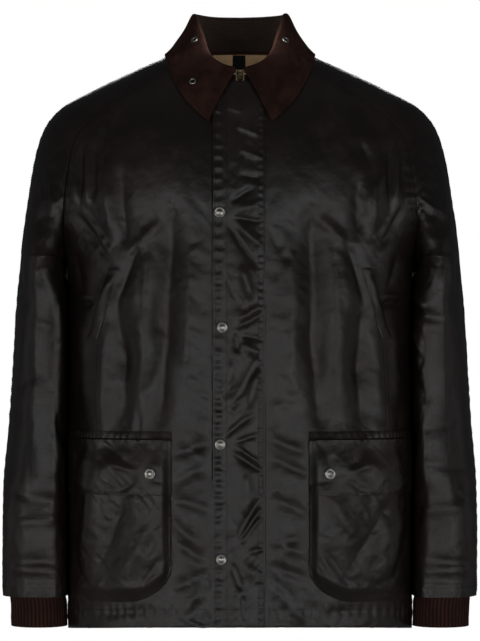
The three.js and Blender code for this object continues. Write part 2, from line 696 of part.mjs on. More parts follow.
// A solid of manifold-3d from a three.js geometry, and back
function solid(geometry, matrix) {
  const bare = geometry.clone();
  ["normal", "uv", "uv1"].forEach((name) => bare.deleteAttribute(name));
  if (matrix) bare.applyMatrix4(matrix);
  const merged = mergeVertices(bare, 1e-4);
  return new wasm.Manifold(
    new wasm.Mesh({
      numProp: 3,
      vertProperties: new Float32Array(merged.getAttribute("position").array),
      triVerts: new Uint32Array(merged.index.array),
    }),
  );
}
function geometryOf(made) {
  const { vertProperties, triVerts } = made.getMesh();
  const geometry = new THREE.BufferGeometry();
  geometry.setAttribute("position", new THREE.BufferAttribute(new Float32Array(vertProperties), 3));
  geometry.setIndex(new THREE.BufferAttribute(new Uint32Array(triVerts), 1));
  return facingOut(geometry);
}
const shift = (x, y, z) => new THREE.Matrix4().makeTranslation(x, y, z);

// Zip slider and its pull tab, built upright: x across, y outward from the cloth, z up the zip.
const LEAN = 0.56; // the front leans back by this angle at the zip's top
const PIN_OUT = 5.4;
const PIN_UP = 1.5;
function sliderGeometry() {
  const plate = new THREE.Shape();
  plate.moveTo(-4.4, 4.2);
  plate.quadraticCurveTo(0, 6.2, 4.4, 4.2);
  plate.lineTo(3.4, -5.2);
  plate.quadraticCurveTo(0, -6.4, -3.4, -5.2);
  plate.closePath();
  const slab = (wall) => new THREE.ExtrudeGeometry(plate, { depth: wall, bevelEnabled: false, curveSegments: 4 });
  const upright = new THREE.Matrix4().makeRotationX(Math.PI / 2);
  const face = solid(slab(1.5), shift(0, 3, 0).multiply(upright));
  const back = solid(slab(1.3), shift(0, -3.9, 0).multiply(upright));
  const neck = solid(new THREE.BoxGeometry(2.4, 6.4, 2), shift(0, -1.4, 3.6));
  const ear = (x) => solid(new THREE.BoxGeometry(0.9, 4.2, 2.6), shift(x, 4.2, PIN_UP));
  const pin = solid(
    new THREE.CylinderGeometry(TAB.pin, TAB.pin, 6.4, 12),
    shift(0, PIN_OUT, PIN_UP).multiply(new THREE.Matrix4().makeRotationZ(Math.PI / 2)),
  );
  return geometryOf(face.add(back).add(neck).add(ear(-3)).add(ear(3)).add(pin));
}
function tabGeometry() {
  const side = new THREE.Shape();
  const hinge = Math.asin(TAB.wall / 2 / TAB.eye);
  side.absarc(0, 0, TAB.eye, -Math.PI / 2 + hinge, -Math.PI / 2 - hinge + 2 * Math.PI, false);
  side.lineTo(-TAB.wall / 2, -TAB.length);
  side.lineTo(TAB.wall / 2, -TAB.length);
  side.closePath();
  const hole = new THREE.Path();
  hole.absarc(0, 0, TAB.hole, 0, 2 * Math.PI, true);
  side.holes.push(hole);
  const profile = new THREE.ExtrudeGeometry(side, { depth: TAB.width, bevelEnabled: false, curveSegments: 10 });
  const turn = new THREE.Matrix4().makeBasis(
    new THREE.Vector3(0, 1, 0),
    new THREE.Vector3(0, 0, 1),
    new THREE.Vector3(1, 0, 0),
  );
  const bar = solid(profile, shift(-TAB.width / 2, 0, 0).multiply(turn));
  const front = new THREE.Shape();
  front.moveTo(-TAB.width / 2, 3);
  front.lineTo(-TAB.width / 2 + 0.5, -5);
  front.lineTo(-TAB.width / 2, -TAB.length + 2.4);
  front.absarc(0, -TAB.length + 2.4, TAB.width / 2, Math.PI, 2 * Math.PI, false);
  front.lineTo(TAB.width / 2 - 0.5, -5);
  front.lineTo(TAB.width / 2, 3);
  front.closePath();
  const slot = new THREE.Path();
  slot.absarc(0, -TAB.length + 3, 1.1, 0, 2 * Math.PI, true);
  front.holes.push(slot);
  const blank = new THREE.ExtrudeGeometry(front, { depth: 8, bevelEnabled: false, curveSegments: 8 });
  const mask = solid(blank, shift(0, 4, 0).multiply(new THREE.Matrix4().makeRotationX(Math.PI / 2)));
  return geometryOf(bar.intersect(mask));
}
function makeSlider() {
  const seat = frontPoint(0, FRONT_TOP, 0);
  const group = new THREE.Group();
  group.position.copy(seat);
  group.rotation.x = -LEAN;
  const faceOut = new THREE.Group();
  faceOut.rotation.z = Math.PI;
  group.add(faceOut);
  jacket.add(group);
  add("zip_slider", sliderGeometry(), BRASS, faceOut);
  const hung = new THREE.Group();
  hung.position.set(0, PIN_OUT, PIN_UP);
  faceOut.add(hung);
  add("zip_pull_tab", tabGeometry(), BRASS, hung);
}

// A turned fastener, its axis along a direction, its foot at a seat
function fastener(name, profile, seat, normal, material) {
  const points = profile.map(([r, h]) => new THREE.Vector2(r, h));
  const mesh = add(name, new THREE.LatheGeometry(points, 16), material);
  mesh.quaternion.setFromUnitVectors(new THREE.Vector3(0, 1, 0), normal);
  mesh.position.copy(seat);
}
const { radius: capR, height: capH } = SNAP;
const CAP = [[0, 0], [capR - 0.6, 0], [capR, 0.9], [capR - 0.7, 2.1], [capR * 0.55, capH - 0.3], [0, capH]];
const { radius: ringR, height: ringH, eye } = STUD;
const RING = [[0, 0], [ringR, 0], [ringR, 1], [ringR - 1, ringH], [eye + 0.4, ringH], [eye, 0.8], [0, 0.8]];

const STORM_SNAPS = [[-25, -199.5], [-22, -341.5], [-24.4, -486], [-23.2, -628]];
const POCKET_SNAP = [107.5, -522];
function frontNormal(x, z) {
  const step = 2;
  const across = frontPoint(x + step, z, 0).sub(frontPoint(x - step, z, 0));
  const up = frontPoint(x, z + step, 0).sub(frontPoint(x, z - step, 0));
  return across.cross(up).normalize();
}

// Bellows pockets: a bag that stands off the front, and its flap
const POCKET = { inner: 85, outer: 211, top: -484, bottom: -682, corner: 44, proud: 12, wall: 1.8, lift: 0.8 };
const FLAP = { top: -470, bottom: -549, lift: 0.9, wall: 1.6 };
function pocketPoint(across, z, lift) {
  const first = angleAcross(POCKET.inner, z);
  const last = angleAcross(POCKET.outer, z);
  return bodyPoint(-1, mix(first, last, across), z, lift);
}
// The lower edge rises in a quarter round towards the inner side.
const POCKET_SPAN = 145; // along the cloth, from the inner edge round to the outer
function pocketBottom(across) {
  const into = across * POCKET_SPAN;
  if (into >= POCKET.corner) return POCKET.bottom;
  const rest = POCKET.corner - into;
  return POCKET.bottom + POCKET.corner - Math.sqrt(POCKET.corner ** 2 - rest ** 2);
}
const BAG_COLUMNS = [0, 0.035, 0.1, 0.2, 0.34, 0.5, 0.66, 0.8, 0.92, 1];
const BAG_ROWS = [0, 0.12, 0.28, 0.45, 0.62, 0.78, 0.9, 0.965, 1];
function bagStand(across, down) {
  const inner = ease(across / 0.05);
  const outer = ease((1 - across) / 0.5);
  const foot = ease((1 - down) / 0.1);
  const slack = 0.72 + 0.28 * Math.sin(Math.PI * Math.min(1, down * 1.15));
  return POCKET.lift + POCKET.proud * inner * outer * foot * slack;
}
function bagLayer(extra) {
  return BAG_ROWS.map((down) =>
    BAG_COLUMNS.map((across) => {
      const z = mix(POCKET.top, pocketBottom(across), down);
      return pocketPoint(across, z, bagStand(across, down) + extra);
    }),
  );
}
function flapStand(across, down) {
  const z = mix(FLAP.top, FLAP.bottom, down);
  const under = (POCKET.top - z) / (POCKET.top - POCKET.bottom);
  const bag = under < -0.02 ? 0 : bagStand(across, Math.max(0, under)) - POCKET.lift + POCKET.wall;
  return FLAP.lift + Math.max(0, bag) * ease(down / 0.13) + 0.9 * ease(down / 0.13);
}
const FLAP_ROWS = [0, 0.07, 0.135, 0.3, 0.5, 0.75, 1];
function flapLayer(extra) {
  return FLAP_ROWS.map((down) =>
    BAG_COLUMNS.map((across) => {
      const z = mix(FLAP.top, FLAP.bottom, down);
      return pocketPoint(across, z, flapStand(across, down) + extra);
    }),
  );
}
function makePockets() {
  const pieces = [
    ["pocket_bag_", bagLayer(POCKET.wall), bagLayer(0)],
    ["pocket_flap_", flapLayer(FLAP.wall), flapLayer(0)],
  ];
  for (const [name, outer, inner] of pieces) {
    add(name + "right", wallBetween(outer, inner), WAXED);
    add(name + "left", wallBetween(mirrored(outer), mirrored(inner)), WAXED);
  }
}

// Hand-warmer welts: narrow double-folded strips on a slant
const WELT = { top: [150, -268], bottom: [176, -356], width: 13, lift: 0.9, wall: 1.6 };
function makeWelts() {
  const steps = 6;
  const layer = (extra) =>
    Array.from({ length: steps + 1 }, (_, i) => {
      const t = i / steps;
      const z = mix(WELT.top[1], WELT.bottom[1], t);
      const x = mix(WELT.top[0], WELT.bottom[0], t);
      return [0, 0.5, 1].map((s) => bodyPoint(-1, angleAcross(x + s * WELT.width, z), z, WELT.lift + extra));
    });
  const [outer, inner] = [layer(WELT.wall), layer(0)];
  add("handwarmer_welt_right", wallBetween(outer, inner), WAXED);
  add("handwarmer_welt_left", wallBetween(mirrored(outer), mirrored(inner)), WAXED);
}

// Rib-knit cuffs, sewn inside the sleeve and narrower where they come out: they are smaller
// than the sleeve, by these amounts of half width and half depth, and set in towards the body.
const CUFF = [
  { z: CUFF_TOP, across: -3.6, depth: -4.1, inset: 0 },
  { z: -655, across: -4, depth: -8, inset: 0 },
  { z: -672, across: -5.3, depth: -15, inset: 1.3 },
  { z: -690, across: -5.6, depth: -16, inset: 4.5 },
  { z: CUFF_END, across: -5.6, depth: -17, inset: 4.9 },
];
const CUFF_SIDES = 32;
const CUFF_WALL = 2.2;
function makeCuffs() {
  const layer = (extra) =>
    CUFF.map(({ z, across, depth, inset }) =>
      Array.from({ length: CUFF_SIDES }, (_, j) => {
        const angle = (2 * Math.PI * j) / CUFF_SIDES;
        const level = Math.max(z, SLEEVE_END);
        const mid = read(SLEEVE, "mid", level);
        const half = read(SLEEVE, "outer", level) - mid + across - extra;
        const deep = read(SLEEVE, "depth", level) + depth - extra;
        return new THREE.Vector3(
          mid - inset + half * Math.cos(angle),
          read(SLEEVE, "swing", level) + deep * Math.sin(angle),
          z,
        );
      }),
    );
  const [outer, inner] = [layer(0), layer(CUFF_WALL)];
  add("cuff_right", wallBetween(outer, inner, true), KNIT);
  add("cuff_left", wallBetween(mirrored(outer), mirrored(inner), true), KNIT);
}

// The lining that shows inside the neck, made from the back's own inner points
function makeLining({ inner, normals }) {
  const middle = BACK_COLUMNS;
  const reach = 6;
  const rows = 6;
  const cut = (by) =>
    inner.slice(0, rows).map((row, i) =>
      row
        .slice(middle - reach, middle + reach + 1)
        .map((p, j) => p.clone().addScaledVector(normals[i][middle - reach + j], -by)),
    );
  const lower = (grid) => {
    const made = grid.map((row) => row.map((p) => p.clone()));
    made[0] = made[0].map((p, j) => p.lerp(made[1][j], 0.12));
    return made;
  };
  add("neck_lining", wallBetween(lower(cut(0.35)), lower(cut(1.25))), LINING);
  const label = (by) =>
    [9.5, 1, -8].map((z) =>
      [-10, -4, 2, 7.5].map((x) => {
        const p = bodyPoint(1, angleAcross(Math.abs(x), z), z, -CLOTH - by);
        return new THREE.Vector3(x, p.y, z);
      }),
    );
  add("neck_label", wallBetween(label(2.5), label(3.2)), LABEL);
}

makeFronts();
makeSleeves();
const back = makeBack();
const { grid: collarGrid, normals: collarNormals } = makeCollar();
makeFly();
makeZip();
makeSlider();
makePockets();
makeWelts();
makeCuffs();
makeLining(back);

STORM_SNAPS.forEach(([x, z], k) => {
  const normal = frontNormal(x, z);
  const seat = frontPoint(x, z, flyLift(x, z) + FLY.wall + SNAP.seat + 0.35);
  fastener("storm_snap_" + (k + 1), CAP, seat, normal, STEEL);
});
for (const [side, name] of [[-1, "left"], [1, "right"]]) {
  const [x, z] = POCKET_SNAP;
  const first = angleAcross(POCKET.inner, z);
  const last = angleAcross(POCKET.outer, z);
  const across = (angleAcross(x, z) - first) / (last - first);
  const down = (FLAP.top - z) / (FLAP.top - FLAP.bottom);
  const lift = (s) => flapStand(s, down) + FLAP.wall + SNAP.seat + 0.6;
  const seat = pocketPoint(across, z, lift(across));
  const step = 0.04;
  const over = pocketPoint(across + step, z, lift(across + step)).sub(
    pocketPoint(across - step, z, lift(across - step)),
  );
  const normal = over.cross(new THREE.Vector3(0, 0, 1)).normalize();
  seat.x *= side;
  normal.x *= side;
  fastener("pocket_snap_" + name, CAP, seat, normal, STEEL);
}

// Ring studs on the collar: column and row of the collar's own grid, as fractions
function collarSpot(column, row) {
  const [j, i] = [Math.floor(column), Math.floor(row)];
  const blend = (grid) => {
    const upper = grid[i][j].clone().lerp(grid[i][j + 1], column - j);
    const lower = grid[i + 1][j].clone().lerp(grid[i + 1][j + 1], column - j);
    return upper.lerp(lower, row - i);
  };
  return { point: blend(collarGrid), normal: blend(collarNormals).normalize() };
}
const COLLAR_LAST = 2 * COLLAR_SHARES.length - 2;
const STUDS = [
  ["collar_stud_left", 6.3, 5.7],
  ["collar_stud_right", COLLAR_LAST - 6.3, 5.7],
  ["collar_stud_lower", 3.9, 8.1],
];
for (const [name, column, row] of STUDS) {
  const { point, normal } = collarSpot(column, row);
  const out = normal.dot(point) < 0 ? normal.negate() : normal;
  const seat = point.clone().addScaledVector(out, COLLAR_WALL / 2 + 0.55);
  fastener(name, RING, seat, out, STEEL);
}

export default jacket;
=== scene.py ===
# %% [markdown]
# A waxed cotton jacket, filled out as if somebody wore it, zipped and snapped shut. The solids of
# the jacket come in as a fixed frame. This lesson lays the real cloth over them: each panel is a
# thin wall that follows the same level sections as its solid, with the creases, seams and stitches
# that a worn, waxed jacket has. Lengths are in millimetres until a mesh is made, which is in metres.

import math

import bpy
import numpy as np
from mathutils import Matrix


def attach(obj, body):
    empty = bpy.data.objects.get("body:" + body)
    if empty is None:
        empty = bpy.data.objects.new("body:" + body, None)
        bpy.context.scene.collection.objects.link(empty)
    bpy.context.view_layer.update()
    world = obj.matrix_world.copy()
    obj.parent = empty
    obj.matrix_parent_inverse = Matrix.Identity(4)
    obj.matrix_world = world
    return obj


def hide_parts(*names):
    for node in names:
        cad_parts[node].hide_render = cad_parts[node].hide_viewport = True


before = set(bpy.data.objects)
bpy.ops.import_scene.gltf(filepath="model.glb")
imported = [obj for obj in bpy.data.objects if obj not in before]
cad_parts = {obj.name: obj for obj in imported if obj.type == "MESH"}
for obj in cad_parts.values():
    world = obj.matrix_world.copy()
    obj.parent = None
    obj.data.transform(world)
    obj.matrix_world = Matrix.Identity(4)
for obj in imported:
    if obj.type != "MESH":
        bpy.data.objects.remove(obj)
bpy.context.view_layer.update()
BODY_NAME = "jacket"
MM = 0.001
SIDES = ((-1, "left"), (1, "right"))

# %% [markdown]
# The photo looks straight at the front from mid height. The jacket is carried by its wearer, so the
# floor lies where that wearer would stand and never shows in this view. Two soft boxes stand in front,
# left and right of the camera and low: surfaces that face them get the satin sheen of the wax, and
# the shoulders and sides, which turn away from them, stay nearly black, as the photo shows. Weak boxes
# light the sides and the back, and a small lamp inside the neck lights the lining.

# %% Camera, floor and light
VIEW_DISTANCE = 5.0
VIEW_HEIGHT = -0.333
VIEW_TALL = 0.814
SENSOR = 36
camera_data = bpy.data.cameras.new("view")
camera_data.sensor_fit = "VERTICAL"
camera_data.sensor_height = SENSOR
camera_data.lens = SENSOR * VIEW_DISTANCE / VIEW_TALL
camera = bpy.data.objects.new("view", camera_data)
camera.location = (0.0, -VIEW_DISTANCE, VIEW_HEIGHT)
camera.rotation_euler = (math.pi / 2, 0, 0)
bpy.context.collection.objects.link(camera)
bpy.context.scene.camera = camera

FLOOR_LEVEL = -1.45
FLOOR_HALF = 5.0
floor_mesh = bpy.data.meshes.new("floor")
corners = [(x * FLOOR_HALF, y * FLOOR_HALF, FLOOR_LEVEL) for x, y in ((-1, -1), (1, -1), (1, 1), (-1, 1))]
floor_mesh.from_pydata(corners, [], [(0, 1, 2, 3)])
floor = bpy.data.objects.new("floor", floor_mesh)
bpy.context.collection.objects.link(floor)
pale = bpy.data.materials.new("pale_floor")
pale.use_nodes = True
paint = pale.node_tree.nodes["Principled BSDF"].inputs
paint["Base Color"].default_value = (0.8, 0.8, 0.79, 1)
paint["Roughness"].default_value = 0.9
floor_mesh.materials.append(pale)


def soft_light(name, place, target, width, height, power):
    """An area light at a place, turned towards a target."""
    data = bpy.data.lights.new(name, "AREA")
    data.shape = "RECTANGLE"
    data.size = width
    data.size_y = height
    data.energy = power
    lamp = bpy.data.objects.new(name, data)
    lamp.location = place
    aim = np.array(target) - np.array(place)
    flat = math.hypot(aim[0], aim[1])
    lamp.rotation_euler = (math.pi / 2 + math.atan2(aim[2], flat), 0, math.atan2(-aim[0], aim[1]))
    bpy.context.collection.objects.link(lamp)
    return lamp


MIDDLE = (0, 0, -0.4)
for name, across, depth, height, width, tall, power in (
    ("front_%s_box", 2.1, -5.3, -0.85, 2.0, 1.4, 39),
    ("%s_box", 4.4, -3.0, -0.7, 1.4, 2.0, 9),
    ("%s_side_box", 4.8, 0.8, -0.3, 1.6, 1.8, 4),
):
    for side, word in SIDES:
        soft_light(name % word, (side * across, depth, height), MIDDLE, width, tall, power)
soft_light("back_box", (0, 4.5, 0.4), MIDDLE, 1.6, 1.6, 34)
soft_light("top_box", (0, -0.5, 2.6), (0, 0, 0), 2.5, 2.0, 1.5)
neck_light = soft_light("neck_fill", (0, -0.08, 0.03), (0, 0.09, 0.0), 0.06, 0.03, 0.055)
neck_light.visible_camera = False

world = bpy.data.worlds.new("studio")
bpy.context.scene.world = world
world.use_nodes = True
nodes, links = world.node_tree.nodes, world.node_tree.links
nodes.clear()
path = nodes.new("ShaderNodeLightPath")
choose = nodes.new("ShaderNodeMixShader")
output = nodes.new("ShaderNodeOutputWorld")
links.new(path.outputs["Is Camera Ray"], choose.inputs["Fac"])
links.new(choose.outputs["Shader"], output.inputs["Surface"])
for slot, colour, strength in ((1, (0.9, 0.95, 1, 1), 0.038), (2, (1, 1, 1, 1), 1.0)):
    shade = nodes.new("ShaderNodeBackground")
    shade.inputs["Color"].default_value = colour
    shade.inputs["Strength"].default_value = strength
    links.new(shade.outputs["Background"], choose.inputs[slot])
bpy.context.scene.view_settings.view_transform = "Standard"
print("camera lens", round(camera_data.lens, 1), "mm")

# %% [markdown]
# The jacket's form is a stack of level sections, cut like those of its solids. The body's section
# is a squared ellipse: across = wide x sin(angle)^(2/square) and
# depth = deep x cos(angle)^(2/square). A sleeve's section stands beside the body: an ellipse above
# the armpit, and squarer and a little skewed below it. Writing the cut as tables of sections keeps
# every piece, stitch and button on one shape.

# %% The level sections
HIGH_LEVELS = [24, 12, 6, 0, -5, -10, -20, -40, -66, -90, -120, -150, -180]
SHOULDER = [30, 68, 82, 96, 107.5, 119, 141, 183, 229, 248]
BODY = {
    "z": HIGH_LEVELS + [-200, -215, -230, -245, -258, -290, -340, -450, -600, -740],
    "wide": SHOULDER + [258, 262, 268, 257, 246, 232.5, 224.6, 219, 218.2, 218, 218, 218, 218],
    "front": [30, 36, 48, 67, 76, 82, 88, 101, 114, 122, 131, 137, 141, 142, 142.5, 143, 143.5, 144,
              145, 145, 142, 140, 138],
    "back": [84, 92, 95, 98, 99.5, 101, 104, 110, 118, 125, 132, 136, 139, 140, 140, 140, 139.5, 139,
             138, 136, 131, 130, 131],
    "square": [2] * 9 + [2.1, 2.25, 2.4, 2.45, 2.5, 2.6, 2.8, 3, 3.1, 3.05, 2.95, 2.85, 2.8, 2.75],
}
SLEEVE = {
    "z": HIGH_LEVELS + [-215, -245, -258, -300, -383, -460, -540, -612, -700],
    "outer": SHOULDER + [258.3, 264.3, 268.9, 273.9, 276.9, 277.8, 282.6, 288, 293, 299, 299.4, 299],
    "mid": [0] * 9 + [60, 140, 190, 218, 238, 247, 249, 250.8, 253.3, 255.7, 258.7, 258.8, 258.4],
    "depth": [60] * 7 + [100, 110, 110, 105, 98, 95, 97, 103, 105, 99, 90, 84, 76, 67, 57],
    "swing": [0] * 17 + [-2, -6, -13, -19, -26],
}
RAGLAN_FRONT = {"z": [-5, -20, -42, -72, -104, -140, -180, -200],
                "across": [62, 94, 132, 176, 206, 215, 219.5, 220]}
RAGLAN_BACK = {"z": [9, -10, -42, -72, -104, -140, -180, -200],
               "across": [55, 88, 130, 166, 194, 210, 218, 220]}
ARMHOLE_BOTTOM = {"z": [-200, -215, -230, -243, -251.5, -256.5, -258],
                  "depth": [90, 83, 71, 56, 38, 18, 0]}
ARM_BOTTOM = -258
HEM_FRONT, HEM_BACK, HEM_SIDE = -712.5, -722, -722.5
SLEEVE_END = -679
CLOTH = 2.0
FRONT_EDGE = 5.2
NECK_FRONT, NECK_CORNER, NECK_SIDE, NECK_BACK_CORNER, NECK_BACK = -26, -5, 6, 9, 12
ARM_TOUCH = 1.4
ARM = {
    "z": [-240, -330, -500, -580, -700],
    "outer_square": [2, 1.6, 1.65, 2.3, 2.3],
    "inner_square": [2, 5.5, 5.5, 4.6, 4.6],
    "skew": [0, 0.14, 0.1, -0.16, -0.16],
}


def ease(t):
    """A smooth step: 0 below 0, 1 above 1, with level ends."""
    s = np.clip(t, 0, 1)
    return s * s * (3 - 2 * s)


def mix(a, b, t):
    """A straight blend from a to b."""
    return a + (b - a) * t


def bell(value, centre, half):
    """A bell curve of a value: 1 at its centre, 0.37 at the half width from it."""
    return np.exp(-(((value - centre) / half) ** 2))


def read(table, column, level, key="z"):
    """A table's column at the given levels, by cubic pieces whose slopes never overshoot."""
    order = np.argsort(table[key])
    x = np.array(table[key], float)[order]
    y = np.array(table[column], float)[order]
    slope = np.diff(y) / np.diff(x)
    a, b = slope[:-1], slope[1:]
    both = np.where(a * b > 0, a + b, 1)
    inner = np.where(a * b > 0, 2 * a * b / both, 0)
    tangent = np.concatenate([slope[:1], inner, slope[-1:]])
    level = np.clip(np.asarray(level, float), x[0], x[-1])
    i = np.clip(np.searchsorted(x, level, side="right") - 1, 0, len(x) - 2)
    span = x[i + 1] - x[i]
    t = (level - x[i]) / span
    return (
        (2 * t**3 - 3 * t**2 + 1) * y[i]
        + (t**3 - 2 * t**2 + t) * span * tangent[i]
        + (3 * t**2 - 2 * t**3) * y[i + 1]
        + (t**3 - t**2) * span * tangent[i + 1]
    )


def side_of(facing):
    """The column that holds the depth on the front (facing -1) or the back (+1)."""
    return "front" if facing < 0 else "back"


def body_point(facing, angle, z, lift=0.0, side=1, detail=None):
    """Points of the body's squared ellipse at an angle and level, moved out along its normal.

    The move is lift plus the detail's height, which fades towards the side and the shoulder.
    """
    angle, z, side = np.broadcast_arrays(np.asarray(angle, float), np.asarray(z, float), side)
    wide = read(BODY, "wide", z)
    deep = read(BODY, side_of(facing), z)
    square = read(BODY, "square", z)
    across = wide * np.sin(angle) ** (2 / square)
    depth = deep * np.maximum(0, np.cos(angle)) ** (2 / square)
    height = 0 if detail is None else detail(side * across, z)
    raised = lift + height * ease((wide - across - 3) / 16) * ease((-50 - z) / 40)
    nx = (across / wide) ** (square - 1) / wide
    ny = (depth / deep) ** (square - 1) / deep
    size = np.hypot(nx, ny)
    x = side * (across + raised * nx / size)
    y = facing * (depth + raised * ny / size)
    return np.stack([x, y, z], axis=-1)


def angle_across(across, z):
    """The angle at which the body is the given distance from the centre line."""
    share = np.clip(across / read(BODY, "wide", z), 0, 1)
    return np.arcsin(share ** (read(BODY, "square", z) / 2))


def seam_angle(facing, z):
    """The angle of the seam between body and sleeve, or of the side seam below the arm."""
    z = np.asarray(z, float)
    table = RAGLAN_FRONT if facing < 0 else RAGLAN_BACK
    high = angle_across(read(table, "across", z), z)
    deep = read(BODY, side_of(facing), z)
    share = np.clip(read(ARMHOLE_BOTTOM, "depth", z) / deep, 0, 1)
    low = np.arccos(share ** (read(BODY, "square", z) / 2))
    return np.where(z <= ARM_BOTTOM, math.pi / 2, np.where(z >= -200, high, low))


def seam_cosine(facing, level):
    """The seam's place on the sleeve's section at a level, as a cosine round from the outer edge."""
    seam = body_point(facing, seam_angle(facing, level), level)
    mid = read(SLEEVE, "mid", level)
    return seam, np.clip((seam[..., 0] - mid) / (read(SLEEVE, "outer", level) - mid), -1, 1)


def sleeve_point(facing, turn, z, seam_level, detail=None):
    """Points of a sleeve's section; turn runs from 0 over the arm to 1 at the seam.

    Near the body its depth is fitted so that the section passes through the armhole's seam. Below
    the arm the ellipse grows squarer, most on its inner side, and is skewed so that its front looks
    a little outward, as the front of a hanging arm does.
    """
    turn, z, seam_level = np.broadcast_arrays(turn, z, seam_level)
    mid = read(SLEEVE, "mid", z)
    half = read(SLEEVE, "outer", z) - mid
    full = np.where(seam_level > ARM_BOTTOM, np.arccos(seam_cosine(facing, seam_level)[1]), math.pi)
    neck = NECK_CORNER if facing < 0 else NECK_BACK_CORNER
    seam, cosine = seam_cosine(facing, np.clip(z, ARM_BOTTOM + 8, neck))
    fitted = np.abs(seam[..., 1]) / np.sqrt(np.maximum(1 - cosine**2, 1e-6))
    upper = np.where(z > -66, read(BODY, side_of(facing), z),
                     mix(read(SLEEVE, "depth", z), fitted, ease((z + 250) / 40)))
    depth = np.where(z > ARM_BOTTOM + 0.5, upper, read(SLEEVE, "depth", z))
    angle = full * (turn - 0.1 * np.sin(2 * math.pi * turn) * ease((ARM_BOTTOM - z) / 60))
    raised = ARM_TOUCH * ease((ARM_BOTTOM - 6 - z) / 20) * ease((turn - 0.93) / 0.07)
    if detail is not None:
        fade = ease((-70 - z) / 50) * ease(turn / 0.1) * ease((1 - turn) / 0.08)
        raised = raised + detail(np.degrees(angle), z) * fade
    c, s = np.cos(angle), np.maximum(0, np.sin(angle))
    square = np.where(c > 0, read(ARM, "outer_square", z), read(ARM, "inner_square", z))
    square = mix(2, square, ease((ARM_BOTTOM - 4 - z) / 60))
    c, s = np.sign(c) * np.abs(c) ** (2 / square), s ** (2 / square)
    nx, ny = np.sign(c) * np.abs(c) ** (square - 1) / half, s ** (square - 1) / depth
    size = np.hypot(nx, ny)
    x = mid + half * c + raised * nx / size
    skew = read(ARM, "skew", z) * ease((ARM_BOTTOM - z) / 80) * ease((z + 660) / 60) * (x - mid)
    y = read(SLEEVE, "swing", z) + facing * (depth * s + raised * ny / size) + skew
    return np.stack([x, y, z], axis=-1)


print("chest half width", float(read(BODY, "wide", -300)), "mm")

# %% [markdown]
# Cloth is never smooth. A crease here is a soft trough or ridge round a line: its height is
# depth x exp(-(distance / half)^power), fading towards both ends. Ridges are round, with power 2,
# and troughs are sharper at the bottom, with power 1.35. All were placed from the photo, and
# their lines wander a little, because the places are shifted by slow noise before the distance is
# taken. Between them the wax holds a shallow unrest, which is smooth noise: random heights on a
# coarse grid, blended smoothly.

# %% Creases and unrest
RIDGE_POWER, TROUGH_POWER = 2, 1.35


def crease_height(folds, across, z, reach=1.0):
    """Summed height of creases, each (across, level) to (across, level), half width and depth."""
    height = np.zeros(np.broadcast(across, z).shape)
    for x0, z0, x1, z1, half, depth in folds:
        dx, dz = (x1 - x0) * reach, z1 - z0
        length = math.hypot(dx, dz)
        px, pz = (across - x0) * reach, z - z0
        along = (px * dx + pz * dz) / length
        off = (px * dz - pz * dx) / length
        taper = max(3 * half, 0.42 * length)
        fade = ease((along + half) / taper) * ease((length + half - along) / taper)
        power = TROUGH_POWER if depth < 0 else RIDGE_POWER
        height += depth * fade * np.exp(-(np.abs(off / half) ** power))
    return height


def unrest(seed, u, v, size_u, size_v):
    """Smooth noise between -1 and 1: random heights on a grid of the given size, blended."""
    table = np.random.default_rng(seed).uniform(-1, 1, (64, 64))
    a, b = np.asarray(u, float) / size_u, np.asarray(v, float) / size_v
    i, j = np.floor(a).astype(int), np.floor(b).astype(int)
    s, t = ease(a - i), ease(b - j)

    def at(di, dj):
        return table[(i + di) % 64, (j + dj) % 64]

    return mix(mix(at(0, 0), at(1, 0), s), mix(at(0, 1), at(1, 1), s), t)


def rumple(seed, u, v, scale=1.0):
    """Shallow unrest of waxed cloth: long soft waves with shorter, sharper ones across them."""
    slow = unrest(seed, u + 0.3 * v, v - 0.4 * u, 46, 95)
    quick = unrest(seed + 1, u - 0.5 * v, v + 0.3 * u, 21, 38)
    sharp = 1 - 2 * np.abs(unrest(seed + 2, u + 0.6 * v, v - 0.2 * u, 33, 60))
    return scale * (0.75 * slow + 0.35 * quick + 0.45 * sharp)


def wander(seed, u, v, reach=5.0):
    """The places shifted by slow noise, so that straight creases become uneven lines."""
    return u + reach * unrest(seed, u, v, 44, 62), v + reach * unrest(seed + 1, u, v, 50, 56)


def crinkle(seed, u, v, size):
    """Sharp-crested small wrinkles: the folded edges of two crossing noises, their crests at 0.5."""
    first = 1 - 2.4 * np.abs(unrest(seed, u + 0.7 * v, v - 0.5 * u, size, 2.4 * size))
    second = 1 - 2.4 * np.abs(unrest(seed + 1, u - 0.8 * v, v + 0.4 * u, 0.8 * size, 2.2 * size))
    return np.maximum(first, second) - 0.5


# %% [markdown]
# A panel is a grid of points. Its wall has a second grid one cloth thickness inside, and rims that
# join the two. The outer rim is drawn in a little, so that a cut edge reads as turned and sewn
# instead of sharp. Normals come from the cross product of the grid's own differences.

# %% Mesh helpers
MADE = {}
SEAM_GAP = 0.2
RIM_ROLL = 0.45
WALL_CORNER = math.radians(60)


def unit(v):
    """Vectors of length 1."""
    return v / np.maximum(np.linalg.norm(v, axis=-1, keepdims=True), 1e-9)


def run_along(points, axis):
    """Distance run along an axis of a grid of points, from its first row or column."""
    start = np.take(points, [0], axis=axis)
    return np.linalg.norm(np.diff(points, axis=axis, prepend=start), axis=-1).cumsum(axis=axis)


def normals_of(grid):
    """Unit normals of a grid of points, by its differences down and across."""
    down, across = np.gradient(grid, axis=(0, 1), edge_order=2)
    return unit(np.cross(down, across))


def facing_out(grid, axis):
    """Normals turned away from an axis, given as an array of points or one point."""
    normal = normals_of(grid)
    return normal if np.sum(normal * (grid - axis)) > 0 else -normal


